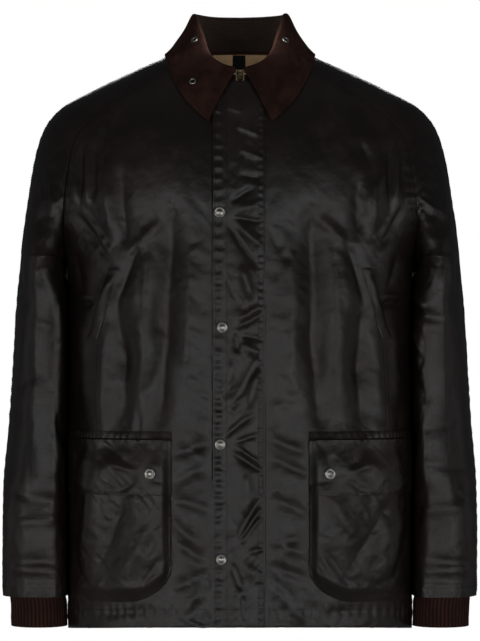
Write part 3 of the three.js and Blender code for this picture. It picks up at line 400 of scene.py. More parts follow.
def outward(points, faces):
    """The quads of a closed form, turned round if they face inward."""
    a, b, c, d = (points[faces[:, k]] for k in range(4))
    volume = np.sum(np.cross(a, b) * c) + np.sum(np.cross(a, c) * d)
    return faces if volume > 0 else faces[:, ::-1]


def make_object(name, points, faces, uv=None, smooth=True):
    """An object at the origin from points in millimetres and quads or triangles."""
    mesh = bpy.data.meshes.new(name)
    mesh.from_pydata(points * MM, [], faces, shade_flat=not smooth)
    if uv is not None:
        layer = mesh.uv_layers.new(name="cloth")
        layer.data.foreach_set("uv", (uv[faces.ravel()] * MM).astype(np.float32).ravel())
    mesh.validate()
    obj = bpy.data.objects.new(name, mesh)
    bpy.context.collection.objects.link(obj)
    MADE[name] = obj
    return obj


def wall_faces(rows, columns, wraps):
    """Quads of a closed wall: outer grid, inner grid turned round, and the rims."""
    index = np.arange(2 * rows * columns).reshape(2, rows, columns)
    if wraps:
        index = np.concatenate([index, index[:, :, :1]], axis=2)
    outer, inner = index

    def quads(a, b, c, d):
        return np.stack([a, b, c, d], axis=-1).reshape(-1, 4)

    made = [
        quads(outer[:-1, :-1], outer[1:, :-1], outer[1:, 1:], outer[:-1, 1:]),
        quads(inner[:-1, :-1], inner[:-1, 1:], inner[1:, 1:], inner[1:, :-1]),
        quads(outer[0, :-1], outer[0, 1:], inner[0, 1:], inner[0, :-1]),
        quads(outer[-1, 1:], outer[-1, :-1], inner[-1, :-1], inner[-1, 1:]),
    ]
    if not wraps:
        made.append(quads(outer[1:, 0], outer[:-1, 0], inner[:-1, 0], inner[1:, 0]))
        made.append(quads(outer[:-1, -1], outer[1:, -1], inner[1:, -1], inner[:-1, -1]))
    return np.concatenate(made)


def make_wall(name, outer, inner, wraps=False, crest=None):
    """A closed wall between two grids; crest is 1 on a rib's top and 0 at the bottom between ribs."""
    points = np.concatenate([outer.reshape(-1, 3), inner.reshape(-1, 3)])
    faces = outward(points, wall_faces(*outer.shape[:2], wraps))
    flat = np.stack([run_along(outer, 1), -run_along(outer, 0)], axis=-1).reshape(-1, 2)
    obj = make_object(name, points, faces, np.concatenate([flat, flat]))
    obj.data.set_sharp_from_angle(angle=WALL_CORNER)
    if crest is not None:
        layer = obj.data.attributes.new("crest", "FLOAT", "POINT")
        layer.data.foreach_set("value", np.tile(crest.ravel(), 2).astype(np.float32))
    return obj


def thin_wall(name, outer, normal, thickness, roll):
    """A cloth wall inward from its outer grid, with its outer rim drawn in by roll."""
    shown = outer.copy()
    for line in (np.s_[0], np.s_[-1], np.s_[:, 0], np.s_[:, -1]):
        shown[line] -= normal[line] * roll
    return make_wall(name, shown, outer - normal * thickness)


def pull_in(grid, first):
    """The grid with its first column moved in by first, and its last column and top by the seam gap."""
    grid = grid.copy()
    for line, beside, gap in ((np.s_[:, 0], np.s_[:, 1], first), (np.s_[:, -1], np.s_[:, -2], SEAM_GAP),
                              (np.s_[0], np.s_[1], SEAM_GAP)):
        grid[line] += unit(grid[beside] - grid[line]) * gap
    return grid


def from_edge(grid, edge, back=False):
    """A grid turned so that an edge becomes its first column, or turned back again."""
    if edge == "last":
        return grid[:, ::-1]
    if edge == "top":
        return grid.swapaxes(0, 1)
    if edge == "bottom":
        return grid.swapaxes(0, 1)[::-1] if back else grid[::-1].swapaxes(0, 1)
    return grid


def pucker(grid, normal, edge, at, width, pitch, depth, seed):
    """Moves a grid in small waves beside a stitched line that runs at a distance from an edge.

    Height = depth x wave(along / pitch) x exp(-((away - at) / width)^2), the wave unevenly spaced.
    """
    view = from_edge(grid, edge)
    away = run_along(view, 1)
    along = run_along(view[:, 0], 0)[:, None]
    shift = unrest(seed, along, 0 * along, 2.6 * pitch, 50)
    strength = 0.65 + 0.35 * unrest(seed + 1, along, 0 * along, 3.4 * pitch, 50)
    wave = np.sin(2 * math.pi * along / pitch + 2.2 * shift) * strength
    height = depth * wave * bell(away, at, width)
    return grid + normal * from_edge(height, edge, back=True)[..., None]


def edge_run(grid, normal, edge, at, skip):
    """The line on a grid at a distance from one edge, with its normals, less skip at both ends."""
    view, face = from_edge(grid, edge), from_edge(normal, edge)
    away = run_along(view, 1)
    index = np.clip((away < at).sum(axis=1), 1, view.shape[1] - 1)
    row = np.arange(len(view))
    before, after = away[row, index - 1], away[row, index]
    t = np.clip((at - before) / np.maximum(after - before, 1e-9), 0, 1)[:, None]
    points = mix(view[row, index - 1], view[row, index], t)
    faces = mix(face[row, index - 1], face[row, index], t)
    along = run_along(points, 0)
    keep = (along >= skip) & (along <= along[-1] - skip)
    return points[keep], faces[keep]


def cut_of(grid):
    """The flat cut of a piece, in metres: its longest row, its longest column and its area."""
    diagonal = np.cross(grid[1:, 1:] - grid[:-1, :-1], grid[1:, :-1] - grid[:-1, 1:])
    area = np.linalg.norm(diagonal, axis=-1).sum() / 2
    width, length = run_along(grid, 1)[:, -1].max(), run_along(grid, 0)[-1].max()
    return width * MM, length * MM, min(area, width * length) * MM * MM


STITCH = {"pitch": 3.3, "length": 2.5, "half": 0.3, "rise": 0.42, "clear": 0.05}


def sew(name, runs):
    """One mesh of small arched stitches laid along runs of points with their normals.

    Each stitch has four rings of three points: both feet and the crown, thin at its two ends.
    """
    rings = [(-0.5, 0.35, -0.3), (-0.2, 1.0, 1.0), (0.2, 1.0, 1.0), (0.5, 0.35, -0.3)]
    shape = np.array([(t, w * s, h * (s == 0)) for t, w, h in rings for s in (-1, 0, 1)])
    shape = shape * [STITCH["length"], STITCH["half"], STITCH["rise"]] + [0, 0, STITCH["clear"]]
    faces = []
    for ring in (0, 3, 6):
        for k in range(3):
            a, b = ring + k, ring + (k + 1) % 3
            faces += [(b + 3, b, a), (a + 3, b + 3, a)]
    faces += [(1, 2, 0), (11, 10, 9)]
    points = []
    for line, normal in runs:
        along = run_along(line, 0)
        places = np.arange(STITCH["pitch"] / 2, along[-1], STITCH["pitch"])
        if len(places) < 2:
            continue
        seat, up = (
            np.stack([np.interp(places, along, values[:, k]) for k in range(3)], axis=1)
            for values in (line, normal)
        )
        up = unit(up)
        ahead = np.gradient(seat, axis=0)
        ahead = unit(ahead - up * np.sum(ahead * up, axis=1, keepdims=True))
        frames = np.stack([ahead, np.cross(up, ahead), up], axis=1)
        points.append(seat[:, None] + shape @ frames)
    points = np.concatenate(points)
    count = len(points)
    indices = (np.array(faces)[None] + 12 * np.arange(count)[:, None, None]).reshape(-1, 3)
    print(name, "stitches", count)
    return make_object(name, points.reshape(-1, 3), indices)


# %% [markdown]
# Every finish is made of nodes. Two effects are shared by several cloths, so each is a node group
# that is built once: "grain" gives the height of crossing threads, and "patches" a soft mask for
# places where wax has worn off or gathered. The Principled shader stays in each material.

# %% Shared node groups
def new_group(name, inputs, output):
    """A shader node group: its inputs as (name, kind, start value), and one number as output."""
    group = bpy.data.node_groups.new(name, "ShaderNodeTree")
    for socket, kind, value in inputs:
        made = group.interface.new_socket(socket, in_out="INPUT", socket_type=kind)
        if value is not None:
            made.default_value = value
    group.interface.new_socket(output, in_out="OUTPUT", socket_type="NodeSocketFloat")
    return group, group.nodes.new("NodeGroupInput").outputs, group.nodes.new("NodeGroupOutput").inputs


def add_node(tree, kind, links=(), **values):
    """A node with its properties and inputs set, and links into its inputs given as (input, socket)."""
    node = tree.nodes.new(kind)
    for key, value in values.items():
        if key[0].isupper():
            node.inputs[key.replace("_", " ")].default_value = value
        else:
            setattr(node, key, value)
    for socket, source in links:
        tree.links.new(source, node.inputs[socket])
    return node


def make_grain():
    """Crossing threads: the larger of two wave patterns at right angles, as a height."""
    group, entry, leave = new_group(
        "grain", [("Vector", "NodeSocketVector", None), ("Threads", "NodeSocketFloat", 900.0)], "Height"
    )
    waves = [
        add_node(group, "ShaderNodeTexWave", [("Vector", entry["Vector"]), ("Scale", entry["Threads"])],
                 bands_direction=direction, Distortion=0.6, Detail=1.0).outputs["Fac"]
        for direction in ("X", "Y")
    ]
    larger = add_node(group, "ShaderNodeMath", enumerate(waves), operation="MAXIMUM")
    group.links.new(larger.outputs[0], leave["Height"])
    return group


def make_patches():
    """A soft mask: layered noise between two thresholds."""
    inputs = [("Vector", "NodeSocketVector", None)]
    for word, value in (("Scale", 12.0), ("Low", 0.4), ("High", 0.7)):
        inputs.append((word, "NodeSocketFloat", value))
    group, entry, leave = new_group("patches", inputs, "Mask")
    noise = add_node(group, "ShaderNodeTexNoise", [("Vector", entry["Vector"]), ("Scale", entry["Scale"])],
                     Detail=7.0, Roughness=0.62)
    limits = [("Value", noise.outputs["Fac"]), ("From Min", entry["Low"]), ("From Max", entry["High"])]
    spread = add_node(group, "ShaderNodeMapRange", limits, interpolation_type="SMOOTHSTEP")
    group.links.new(spread.outputs["Result"], leave["Mask"])
    return group


GRAIN = make_grain()
PATCHES = make_patches()


def place_group(tree, group, vector, **values):
    """A copy of a node group in a material, fed with a vector and its own values."""
    return add_node(tree, "ShaderNodeGroup", [("Vector", vector)], node_tree=group, **values).outputs[0]


def blend_colour(tree, mask, low, high):
    """A colour between two, each a socket or a colour, by a mask."""
    node = add_node(tree, "ShaderNodeMix", [("Factor", mask)], data_type="RGBA")
    for socket, value in (("A", low), ("B", high)):
        place = [s for s in node.inputs if s.name == socket and s.type == "RGBA"][0]
        if isinstance(value, tuple):
            place.default_value = (*value, 1)
        else:
            tree.links.new(value, place)
    return [s for s in node.outputs if s.type == "RGBA"][0]


def between(tree, mask, low, high):
    """A value that runs from low to high with a mask."""
    node = add_node(tree, "ShaderNodeMapRange", [("Value", mask)], To_Min=low, To_Max=high)
    return node.outputs["Result"]


def bump(tree, height, distance, strength, onto=None):
    """A Bump node for a height socket, over an earlier one if given."""
    links = [("Height", height)] if onto is None else [("Height", height), ("Normal", onto)]
    return add_node(tree, "ShaderNodeBump", links, Distance=distance, Strength=strength).outputs["Normal"]


def new_material(name, roughness=0.5, metallic=0.0, **sockets):
    """A material with its shader, and its object and cloth coordinates."""
    material = bpy.data.materials.new(name)
    material.use_nodes = True
    tree = material.node_tree
    shader = tree.nodes["Principled BSDF"]
    shader.inputs["Roughness"].default_value = roughness
    shader.inputs["Metallic"].default_value = metallic
    for key, value in sockets.items():
        shader.inputs[key.replace("_", " ")].default_value = value
    place = tree.nodes.new("ShaderNodeTexCoord")
    return material, tree, shader, place.outputs["Object"], place.outputs["UV"]


# %% [markdown]
# Waxed cotton is a dense weave soaked in wax: nearly black brown, satin where it faces the light,
# paler in patches where the wax has rubbed dry, and finely crackled. The other cloths are matt:
# corduroy and knit scatter light at grazing angles, so they get some sheen, and the grooves between
# their wales and ribs are coloured darker, as painted shade.

# %% Cloth materials
def make_waxed():
    """Nearly black brown in two shades, paler and duller where worn, crackled over a fine weave."""
    material, tree, shader, place, flat = new_material("waxed_cotton", 0.45, Specular_IOR_Level=0.5)
    worn = place_group(tree, PATCHES, place, Scale=14.0, Low=0.42, High=0.72)
    blotch = place_group(tree, PATCHES, place, Scale=5.0, Low=0.35, High=0.7)
    waxy, brown, dry = (0.0115, 0.0088, 0.0076), (0.0195, 0.0132, 0.0112), (0.027, 0.019, 0.016)
    colour = blend_colour(tree, worn, blend_colour(tree, blotch, waxy, brown), dry)
    tree.links.new(colour, shader.inputs["Base Color"])
    tree.links.new(between(tree, worn, 0.32, 0.45), shader.inputs["Roughness"])
    crackle = place_group(tree, PATCHES, place, Scale=70.0, Low=0.3, High=0.72)
    ripple = place_group(tree, PATCHES, place, Scale=26.0, Low=0.2, High=0.8)
    weave = place_group(tree, GRAIN, flat, Threads=520.0)
    first = bump(tree, ripple, 0.0014, 0.45)
    second = bump(tree, crackle, 0.0003, 0.4, first)
    tree.links.new(bump(tree, weave, 0.00008, 0.5, second), shader.inputs["Normal"])
    return material


def make_pile(name, low, high, sheen, threads, painted_groove_shade=None):
    """A matt cloth: two shades in patches, sheen, a fine grain, and painted shade: a darker colour in its
    grooves.
    """
    material, tree, shader, place, flat = new_material(
        name, 0.9, Sheen_Weight=sheen, Sheen_Tint=(0.75, 0.42, 0.34, 1), Specular_IOR_Level=0.2
    )
    patch = place_group(tree, PATCHES, place, Scale=40.0, Low=0.3, High=0.7)
    colour = blend_colour(tree, patch, low, high)
    # Painted shade: the colour darkens towards the grooves, where the crest attribute falls to 0.
    if painted_groove_shade is not None:
        crest = add_node(tree, "ShaderNodeAttribute", attribute_name="crest")
        colour = blend_colour(tree, crest.outputs["Fac"], painted_groove_shade, colour)
    tree.links.new(colour, shader.inputs["Base Color"])
    fuzz = place_group(tree, PATCHES, place, Scale=900.0, Low=0.3, High=0.7)
    grain = place_group(tree, GRAIN, flat, Threads=threads)
    first = bump(tree, fuzz, 0.0003, 0.6)
    tree.links.new(bump(tree, grain, 0.00015, 0.5, first), shader.inputs["Normal"])
    return material


WAXED = make_waxed()
# The last colour given to the corduroys and the knit is painted shade for the grooves between wales and
# ribs.
CORD = make_pile("corduroy", (0.031, 0.0122, 0.0083), (0.077, 0.031, 0.0215), 0.05, 700.0,
                 (0.008, 0.003, 0.0022))
# The stand is the same corduroy as the fall, with its own colours: painted light that makes up for the
# shade inside the collar.
INSIDE_CORD_PAINTED_LIGHT = make_pile("inner_corduroy_painted_light", (0.024, 0.0155, 0.0115), (0.04, 0.026, 0.019), 0.08, 700.0,
                        (0.005, 0.0032, 0.0025))
KNIT = make_pile("rib_knit", (0.038, 0.015, 0.0115), (0.066, 0.026, 0.02), 0.06, 450.0,
                 (0.015, 0.0065, 0.005))
LINING = make_pile("lining", (0.5, 0.31, 0.16), (0.68, 0.45, 0.25), 0.1, 380.0)
LABEL = make_pile("label", (0.006, 0.006, 0.0065), (0.009, 0.0088, 0.0095), 0.05, 800.0)
TAPE = make_pile("zip_tape", (0.006, 0.005, 0.0045), (0.01, 0.008, 0.007), 0.05, 600.0)
THREAD = make_pile("thread", (0.016, 0.012, 0.01), (0.028, 0.02, 0.017), 0.05, 1400.0)


def make_metal(name, bright, dark, low, high):
    """Old metal: brighter where rubbed, duller in patches, with fine scratches."""
    material, tree, shader, place, _ = new_material(name, 0.35, 1.0)
    tarnish = place_group(tree, PATCHES, place, Scale=220.0, Low=0.4, High=0.7)
    tree.links.new(blend_colour(tree, tarnish, bright, dark), shader.inputs["Base Color"])
    tree.links.new(between(tree, tarnish, low, high), shader.inputs["Roughness"])
    scratch = place_group(tree, PATCHES, place, Scale=1600.0, Low=0.4, High=0.6)
    tree.links.new(bump(tree, scratch, 0.00004, 0.6), shader.inputs["Normal"])
    return material


STEEL = make_metal("steel", (0.4, 0.385, 0.36), (0.16, 0.15, 0.14), 0.28, 0.45)
BRASS = make_metal("brass", (0.36, 0.3, 0.2), (0.12, 0.095, 0.06), 0.3, 0.5)
print("materials:", len(bpy.data.materials))

# %% [markdown]
# Each piece gets its material and its body, and the solids that it stands for are hidden. The
# stitched lines are only noted while the panels are made, and sewn at the end as one mesh.

# %% Giving a piece its material and body
def declare(obj, material, slot, nodes, cut=None, held="hung", rests_on=()):
    """Gives a piece its material and body, and hides the solids that it stands for. The slot is not used.
    """
    obj.data.materials.append(material)
    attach(obj, BODY_NAME)
    if nodes:
        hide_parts(*nodes)


SEWN = []


def stitch_edges(grid, normal, lines):
    """Adds stitched lines to sew later, each given as (edge, distance from it, skip at its ends)."""
    for edge, at, skip in lines:
        SEWN.append(edge_run(grid, normal, edge, at, skip))


def sewn_panel(name, node, grid, normal, lines, rests_on=(), first=SEAM_GAP):
    """A waxed panel, drawn in at its seams and with its cut edges turned, and its stitched lines."""
    rim = np.ones((*grid.shape[:2], 1))
    rim[1:-1, 1:-1] = 0
    outer = pull_in(grid, first) - RIM_ROLL * normal * rim
    panel = make_wall(name, outer, pull_in(grid - normal * CLOTH, first))
    declare(panel, WAXED, "waxed_cotton", [node], cut_of(grid), "hung", rests_on)
    stitch_edges(grid, normal, lines)


def thin_piece(name, node, grid, level, wall, roll, lines, on, held="hung", finish=(WAXED, "waxed_cotton")):
    """A thin piece of cloth that lies on another, with its stitched lines; level is mid height."""
    normal = facing_out(grid, [0, 0, level])
    piece = thin_wall(name, grid, normal, wall, roll)
    declare(piece, *finish, [node], cut_of(grid), held, [on])
    stitch_edges(grid, normal, lines)


# %% [markdown]
# The fronts, back and sleeves are cut like a real raglan jacket: the sleeve runs up to the neck, so
# its seam crosses the shoulder on a slant. Row tables say at which level each row of a panel starts
# at the centre and ends at the seam, so that both panels of a seam share the same line.

# %% Rows of the panels
FRONT_LINES = {
    "centre": [-26, -42, -60, -80, -102, -126, -150, -174, -198, -220, -242, -264, -286, -308, -330, -352,
               -374, -396, -420, -444, -470, -496, -524, -552, -582, -612, -643, -674, -700, HEM_FRONT],
    "seam": [-5, -22, -44, -70, -98, -128, -156, -180, -200, -215, -230, -243, -251.5, -256.5, -258,
             -290, -322, -354, -386, -418, -450, -482, -514, -546, -578, -610, -642, -674, -700, HEM_SIDE],
}
BACK_LINES = {
    "centre": [12, -3, -27, -61.5] + FRONT_LINES["centre"][4:-1] + [HEM_BACK],
    "seam": [9, -8, -30, -58, -90, -124, -154, -180] + FRONT_LINES["seam"][8:],
}
SLEEVE_LINES = {
    "over": [6, -6, -20, -37, -56, -80, -108, -136, -162, -186, -208, -228, -246, -262, -280, -308, -338,
             -368, -398, -428, -458, -488, -518, -548, -578, -608, -640, SLEEVE_END],
    "under": [-284, -314, -346, -380, -414, -448, -482, -514, -546, -578, -608, -640, SLEEVE_END],
}
SLEEVE_LINES["front"] = FRONT_LINES["seam"][:15] + SLEEVE_LINES["under"]
SLEEVE_LINES["back"] = BACK_LINES["seam"][:15] + SLEEVE_LINES["under"]
for lines in (FRONT_LINES, BACK_LINES, SLEEVE_LINES):
    lines["row"] = list(range(len(next(iter(lines.values())))))

# Millimetres of cloth for each degree round a sleeve, the fronts' share of extra depth in their
# creases, and where a pocket flap's snap presses its front flat.
ARM_REACH = 0.62
FOLD_GAIN = 1.3
POCKET_SNAP = (107.5, -522)

# Creases: (across, level) to (across, level), half width and depth. On the sleeves, across is in
# degrees round from the outer edge.
LEFT_FOLDS = [
    (88, -176, 89, -380, 14, -8.6), (89, -316, 107, -486, 13, -7.8), (60, -225, 66, -440, 10, 2.6),
    (116, -214, 122, -446, 16, 4.2), (154, -300, 146, -400, 15, -5.8), (145, -352, 150, -470, 15, -5.8),
    (166, -340, 170, -470, 10, 3.0), (98, -206, 140, -250, 7, 2.6), (124, -226, 155, -318, 9, -4.4),
    (204, -196, 160, -265, 6, -2.6), (193, -188, 158, -248, 5, -1.6), (198, -189, 156, -259, 5, 1.4),
    (168, -145, 157, -236, 9, 5.0), (147, -138, 144, -252, 9, -4.2), (172, -92, 168, -142, 9, -3.6),
    (203, -106, 204, -192, 4, 2.6), (195.5, -104, 197, -196, 4, -2.8), (188, -103, 189, -194, 4, 2.6),
    (181, -104, 179, -188, 4.5, -2.8), (180, -313, 212, -314, 4, -2.8), (184, -305, 208, -305, 4, 1.6),
    (152, -270, 184, -330, 7, 2.6), (196, -330, 190, -455, 8, 2.4), (205, -250, 196, -300, 6, -2.2),
    (124, -262, 120, -330, 6, -1.8), (98, -300, 104, -360, 7, -1.6), (100, -380, 122, -436, 6, -1.8),
    (38, -484, 82, -500, 6, -2.4), (40, -512, 82, -536, 6, 1.8), (36, -566, 84, -552, 6, -2.0),
    (36, -632, 84, -604, 5, -2.2), (36, -638, 80, -668, 5, -2.6), (36, -646, 62, -704, 5, -2.4),
    (46, -612, 84, -580, 6, 2.0), (44, -660, 70, -700, 5, 2.0), (95, -690, 180, -696, 6, -1.6),
    (174, -340, 180, -690, 15, 4.0),
]
RIGHT_FOLDS = [
    (91, -174, 90, -400, 14, -8.6), (90, -330, 102, -486, 13, -7.6), (62, -235, 66, -430, 10, 2.4),
    (118, -214, 122, -446, 16, 4.2), (151, -314, 148, -410, 15, -5.6), (147, -360, 150, -474, 15, -6.0),
    (166, -350, 168, -450, 9, 2.6), (94, -200, 140, -246, 7, 2.4), (128, -224, 158, -320, 9, -4.4),
    (204, -188, 164, -258, 6, -2.6), (196, -180, 164, -240, 5, -1.6),
    (200, -182, 163, -250, 5, 1.4), (170, -140, 160, -228, 9, 4.8), (150, -112, 166, -150, 9, -4.0),
    (148, -150, 146, -232, 9, -3.8), (192, -106, 196, -192, 4, 2.8), (200, -106, 205, -190, 4, -2.8),
    (184, -108, 186, -200, 4.5, -3.0), (176, -313, 212, -312, 4, -3.0), (178, -304, 208, -304, 4, 1.6),
    (160, -272, 178, -330, 7, 2.4), (192, -330, 196, -450, 8, 2.2), (196, -250, 186, -300, 6, -2.2),
    (120, -250, 126, -330, 7, -1.6), (104, -330, 98, -420, 8, -1.8), (120, -390, 104, -440, 6, -1.6),
    (36, -476, 80, -496, 6, 2.0), (40, -500, 84, -524, 6, -2.4), (38, -552, 84, -574, 6, 1.8),
    (36, -620, 82, -596, 5, -2.2), (36, -634, 84, -652, 5, -2.4), (36, -642, 72, -696, 5, -2.6),
    (42, -606, 84, -622, 6, 2.0), (46, -664, 80, -706, 5, 2.0), (100, -694, 176, -690, 6, -1.6),
    (176, -340, 179, -690, 15, 4.0),
]
BACK_SIDE_FOLDS = [
    (-170, -150, -60, -250, 12, -4.0), (165, -140, 50, -260, 13, -4.2), (-60, -60, 70, -75, 12, -2.4),
    (-90, -300, -60, -620, 14, 4.0), (80, -280, 100, -600, 13, 3.4), (0, -330, -20, -690, 15, -3.4),
    (-190, -300, -120, -400, 9, -3.8), (185, -290, 130, -410, 9, 3.4), (-150, -430, -140, -700, 10, 3.2),
    (40, -420, 50, -700, 10, -3.0), (160, -450, 150, -700, 10, -3.2), (-30, -200, 30, -230, 9, -2.4),
    (-66, -160, -74, -620, 26, -5.0), (62, -170, 72, -600, 24, -4.4), (-130, -330, -138, -640, 18, 4.6),
    (128, -340, 142, -630, 18, 4.8), (-186, -196, -122, -318, 8, -3.6), (188, -190, 124, -322, 8, -3.6),
    (-176, -180, -140, -246, 5, 2.6), (178, -176, 146, -250, 5, 2.6), (-40, -110, -20, -260, 12, 2.4),
    (-110, -640, -60, -700, 7, -2.2), (90, -630, 130, -704, 7, 2.2), (-20, -300, 50, -330, 6, -2.0),
]
LEFT_ARM_FOLDS = [
    (86, -232, 95, -440, 10, -4.0), (122, -270, 116, -444, 13, 3.6), (112, -458, 178, -500, 8, -6.0),
    (104, -486, 112, -640, 13, 3.4), (70, -440, 90, -610, 10, -3.6), (50, -300, 66, -520, 12, 2.6),
    (58, -150, 112, -184, 4, 1.6), (60, -160, 116, -196, 4, -1.8), (52, -196, 104, -246, 9, -2.4),
    (96, -200, 132, -250, 9, 1.6), (140, -240, 176, -268, 8, -5.0), (120, -300, 160, -330, 6, -2.2),
    (60, -330, 112, -352, 6, -2.0), (104, -370, 150, -362, 6, 2.0), (36, -420, 92, -396, 7, -2.2),
    (124, -520, 160, -560, 7, -2.6), (40, -545, 130, -560, 6, -2.0), (60, -588, 120, -578, 6, 2.0),
    (30, -632, 140, -640, 4.5, -2.2), (36, -646, 130, -650, 4, 1.8), (30, -657, 140, -660, 4, -1.8),
    (120, -600, 164, -620, 6, 2.2), (20, -250, 60, -330, 9, -2.4),
]
RIGHT_ARM_FOLDS = [
    (60, -170, 176, -236, 7, -3.6), (92, -196, 150, -290, 11, 3.6), (60, -236, 100, -300, 8, -2.6),
    (178, -312, 84, -336, 7, -5.4), (170, -300, 100, -320, 6, 3.0), (166, -345, 108, -378, 6, 3.0),
    (100, -350, 134, -402, 6, -3.0), (158, -398, 108, -432, 6, -2.8), (112, -396, 150, -380, 6, 2.4),
    (66, -345, 74, -600, 12, -4.0), (104, -440, 110, -640, 13, 3.6), (150, -440, 176, -520, 9, -4.6),
    (30, -250, 70, -330, 9, -2.6), (40, -400, 60, -560, 12, 2.6), (48, -206, 92, -176, 5, 2.4),
    (44, -520, 125, -505, 7, -2.2), (60, -565, 128, -574, 6, 2.2), (110, -540, 150, -590, 8, -2.4),
    (34, -634, 136, -630, 4.5, -2.2), (30, -645, 140, -648, 4, 2.0), (40, -656, 146, -658, 4, -1.8),
    (130, -246, 176, -270, 8, -4.6), (60, -455, 110, -470, 6, -2.0),
]
BACK_ARM_FOLDS = [
    (60, -300, 70, -600, 12, -3.8), (110, -330, 100, -560, 12, 3.2), (30, -340, 150, -390, 8, -3.6),
    (40, -420, 140, -400, 7, 2.8), (35, -450, 140, -480, 7, -3.4), (50, -200, 120, -250, 10, -3.2),
    (40, -560, 130, -575, 6, -2.4), (60, -640, 130, -644, 4, 1.8), (60, -170, 130, -200, 6, 2.6),
    (130, -250, 176, -280, 8, -3.6), (120, -520, 160, -600, 8, -2.6), (40, -655, 140, -652, 4, -1.8),
]


def front_detail(side):
    """Heights of one front's own creases and unrest; calm on the yoke and under the storm flap."""
    folds, seed = (LEFT_FOLDS, 11) if side < 0 else (RIGHT_FOLDS, 37)

    def height(x, z):
        across = np.abs(x)
        calm = 0.2 + 0.8 * ease((-110 - z) / 90)
        flap = ease((across - 28) / 14)
        snap = 1 - 0.9 * bell(across, POCKET_SNAP[0], 16) * bell(z, POCKET_SNAP[1], 16)
        beside = bell(across, 50, 13) * ease((-180 - z) / 60)
        gather = bell(z, -458, 17) * ease((across - 86) / 10) * ease((176 - across) / 10)
        hem = ease((-640 - z) / 60)
        made = FOLD_GAIN * crease_height(folds, *wander(seed + 50, across, z, 3.0))
        made = made + (rumple(seed, across, z, 1.1) + 4 * unrest(seed + 80, across, z, 95, 120)) * calm
        made = made + (0.45 * calm + 0.9 * beside + 0.35 * hem) * crinkle(seed + 60, across, z, 15)
        made = made + 1.5 * gather * unrest(seed + 70, across, z, 7, 60)
        return made * flap * snap

    return height


def back_detail(x, z):
    """Heights of the back's creases and unrest."""
    calm = ease((-40 - z) / 80)
    made = crease_height(BACK_SIDE_FOLDS, *wander(121, x, z)) + rumple(71, x, z, 1.0) * calm
    return made + 0.5 * calm * crinkle(131, x, z, 17)


def arm_detail(folds, seed):
    """Heights of a sleeve half's own creases, at degrees round from its outer edge, and unrest."""

    def height(degrees, z):
        u, v = wander(seed + 50, degrees * ARM_REACH, z, 4.0)
        made = crease_height(folds, u / ARM_REACH, v, ARM_REACH)
        return made + rumple(seed, degrees * 0.9, z, 0.9) + 0.6 * crinkle(seed + 60, degrees * 0.9, z, 14)

    return height


def body_grid(facing, lines, rows, shares, side, start=0.0, detail=None):
    """A panel: level = centre to seam by share squared, angle from its start to the seam by share."""
    row = np.linspace(0, len(lines["row"]) - 1, rows)[:, None]
    share = np.abs(shares)[None, :]
    centre = read(lines, "centre", row, "row")
    seam = read(lines, "seam", row, "row")
    first = angle_across(start, centre)
    angle = mix(first, seam_angle(facing, seam), share)
    sides = np.where(shares < 0, -1, 1)[None, :] * side
    return body_point(facing, angle, mix(centre, seam, share**2), 0.0, sides, detail)


# %% Fronts and back
FRONT_ROWS, FRONT_COLUMNS = 205, 100
BACK_ROWS, BACK_COLUMNS = 160, 155
BODY_AXIS = [0, 0, -360]
for side, word in SIDES:
    grid = body_grid(-1, FRONT_LINES, FRONT_ROWS, np.linspace(0, 1, FRONT_COLUMNS), side, FRONT_EDGE,
                     front_detail(side))
    normal = facing_out(grid, BODY_AXIS)
    grid = pucker(grid, normal, "last", 5, 9, 15, 0.8, 5 + side)
    grid = pucker(grid, normal, "bottom", 20, 8, 13, 1.1, 8 + side)
    sewn_panel("front_panel_" + word, "front_" + word, grid, facing_out(grid, BODY_AXIS),
               [("last", 3, 4), ("last", 9, 4), ("bottom", 23, 2)], ["back_yoke_panel", "collar_fall"], 0)
grid = body_grid(1, BACK_LINES, BACK_ROWS, np.linspace(-1, 1, BACK_COLUMNS), 1, 0.0, back_detail)
normal = facing_out(grid, BODY_AXIS)
for edge, at, seed in (("first", 5, 91), ("last", 5, 92), ("bottom", 22, 93)):
    grid = pucker(grid, normal, edge, at, 9, 14, 0.8, seed)
sewn_panel("back_yoke_panel", "back_panel", grid, facing_out(grid, BODY_AXIS),
           [("first", 3, 4), ("last", 3, 4), ("first", 9, 4), ("last", 9, 4), ("bottom", 29, 2)])
print("fronts and back:", len(MADE), "panels")

# %% [markdown]
# A sleeve half is a grid of turn and level. Turn runs from over the arm to the seam, and above the
# armhole the grid's last column is drawn onto the body's own seam, so that both meet in one line.

# %% Sleeves
ARM_ROWS, ARM_COLUMNS = 185, 64


def sleeve_grid(facing, rows, columns, detail):
    """A sleeve half from over the arm to the seam, drawn onto the body's seam above the armhole."""
    row = np.linspace(0, len(SLEEVE_LINES["row"]) - 1, rows)[:, None]
    turn = np.linspace(0, 1, columns)[None, :]
    over = read(SLEEVE_LINES, "over", row, "row")
    under = read(SLEEVE_LINES, "front" if facing < 0 else "back", row, "row")
    grid = sleeve_point(facing, turn, mix(over, under, turn), under, detail)
    level = np.maximum(under[:, 0], ARM_BOTTOM)
    seam = body_point(facing, seam_angle(facing, level), level)
    miss = (seam - grid[:, -1]) * ease((under - ARM_BOTTOM + 34) / 30)
    miss[under[:, 0] < ARM_BOTTOM, 2] = 0
    return grid + miss[:, None] * (turn**3)[..., None]


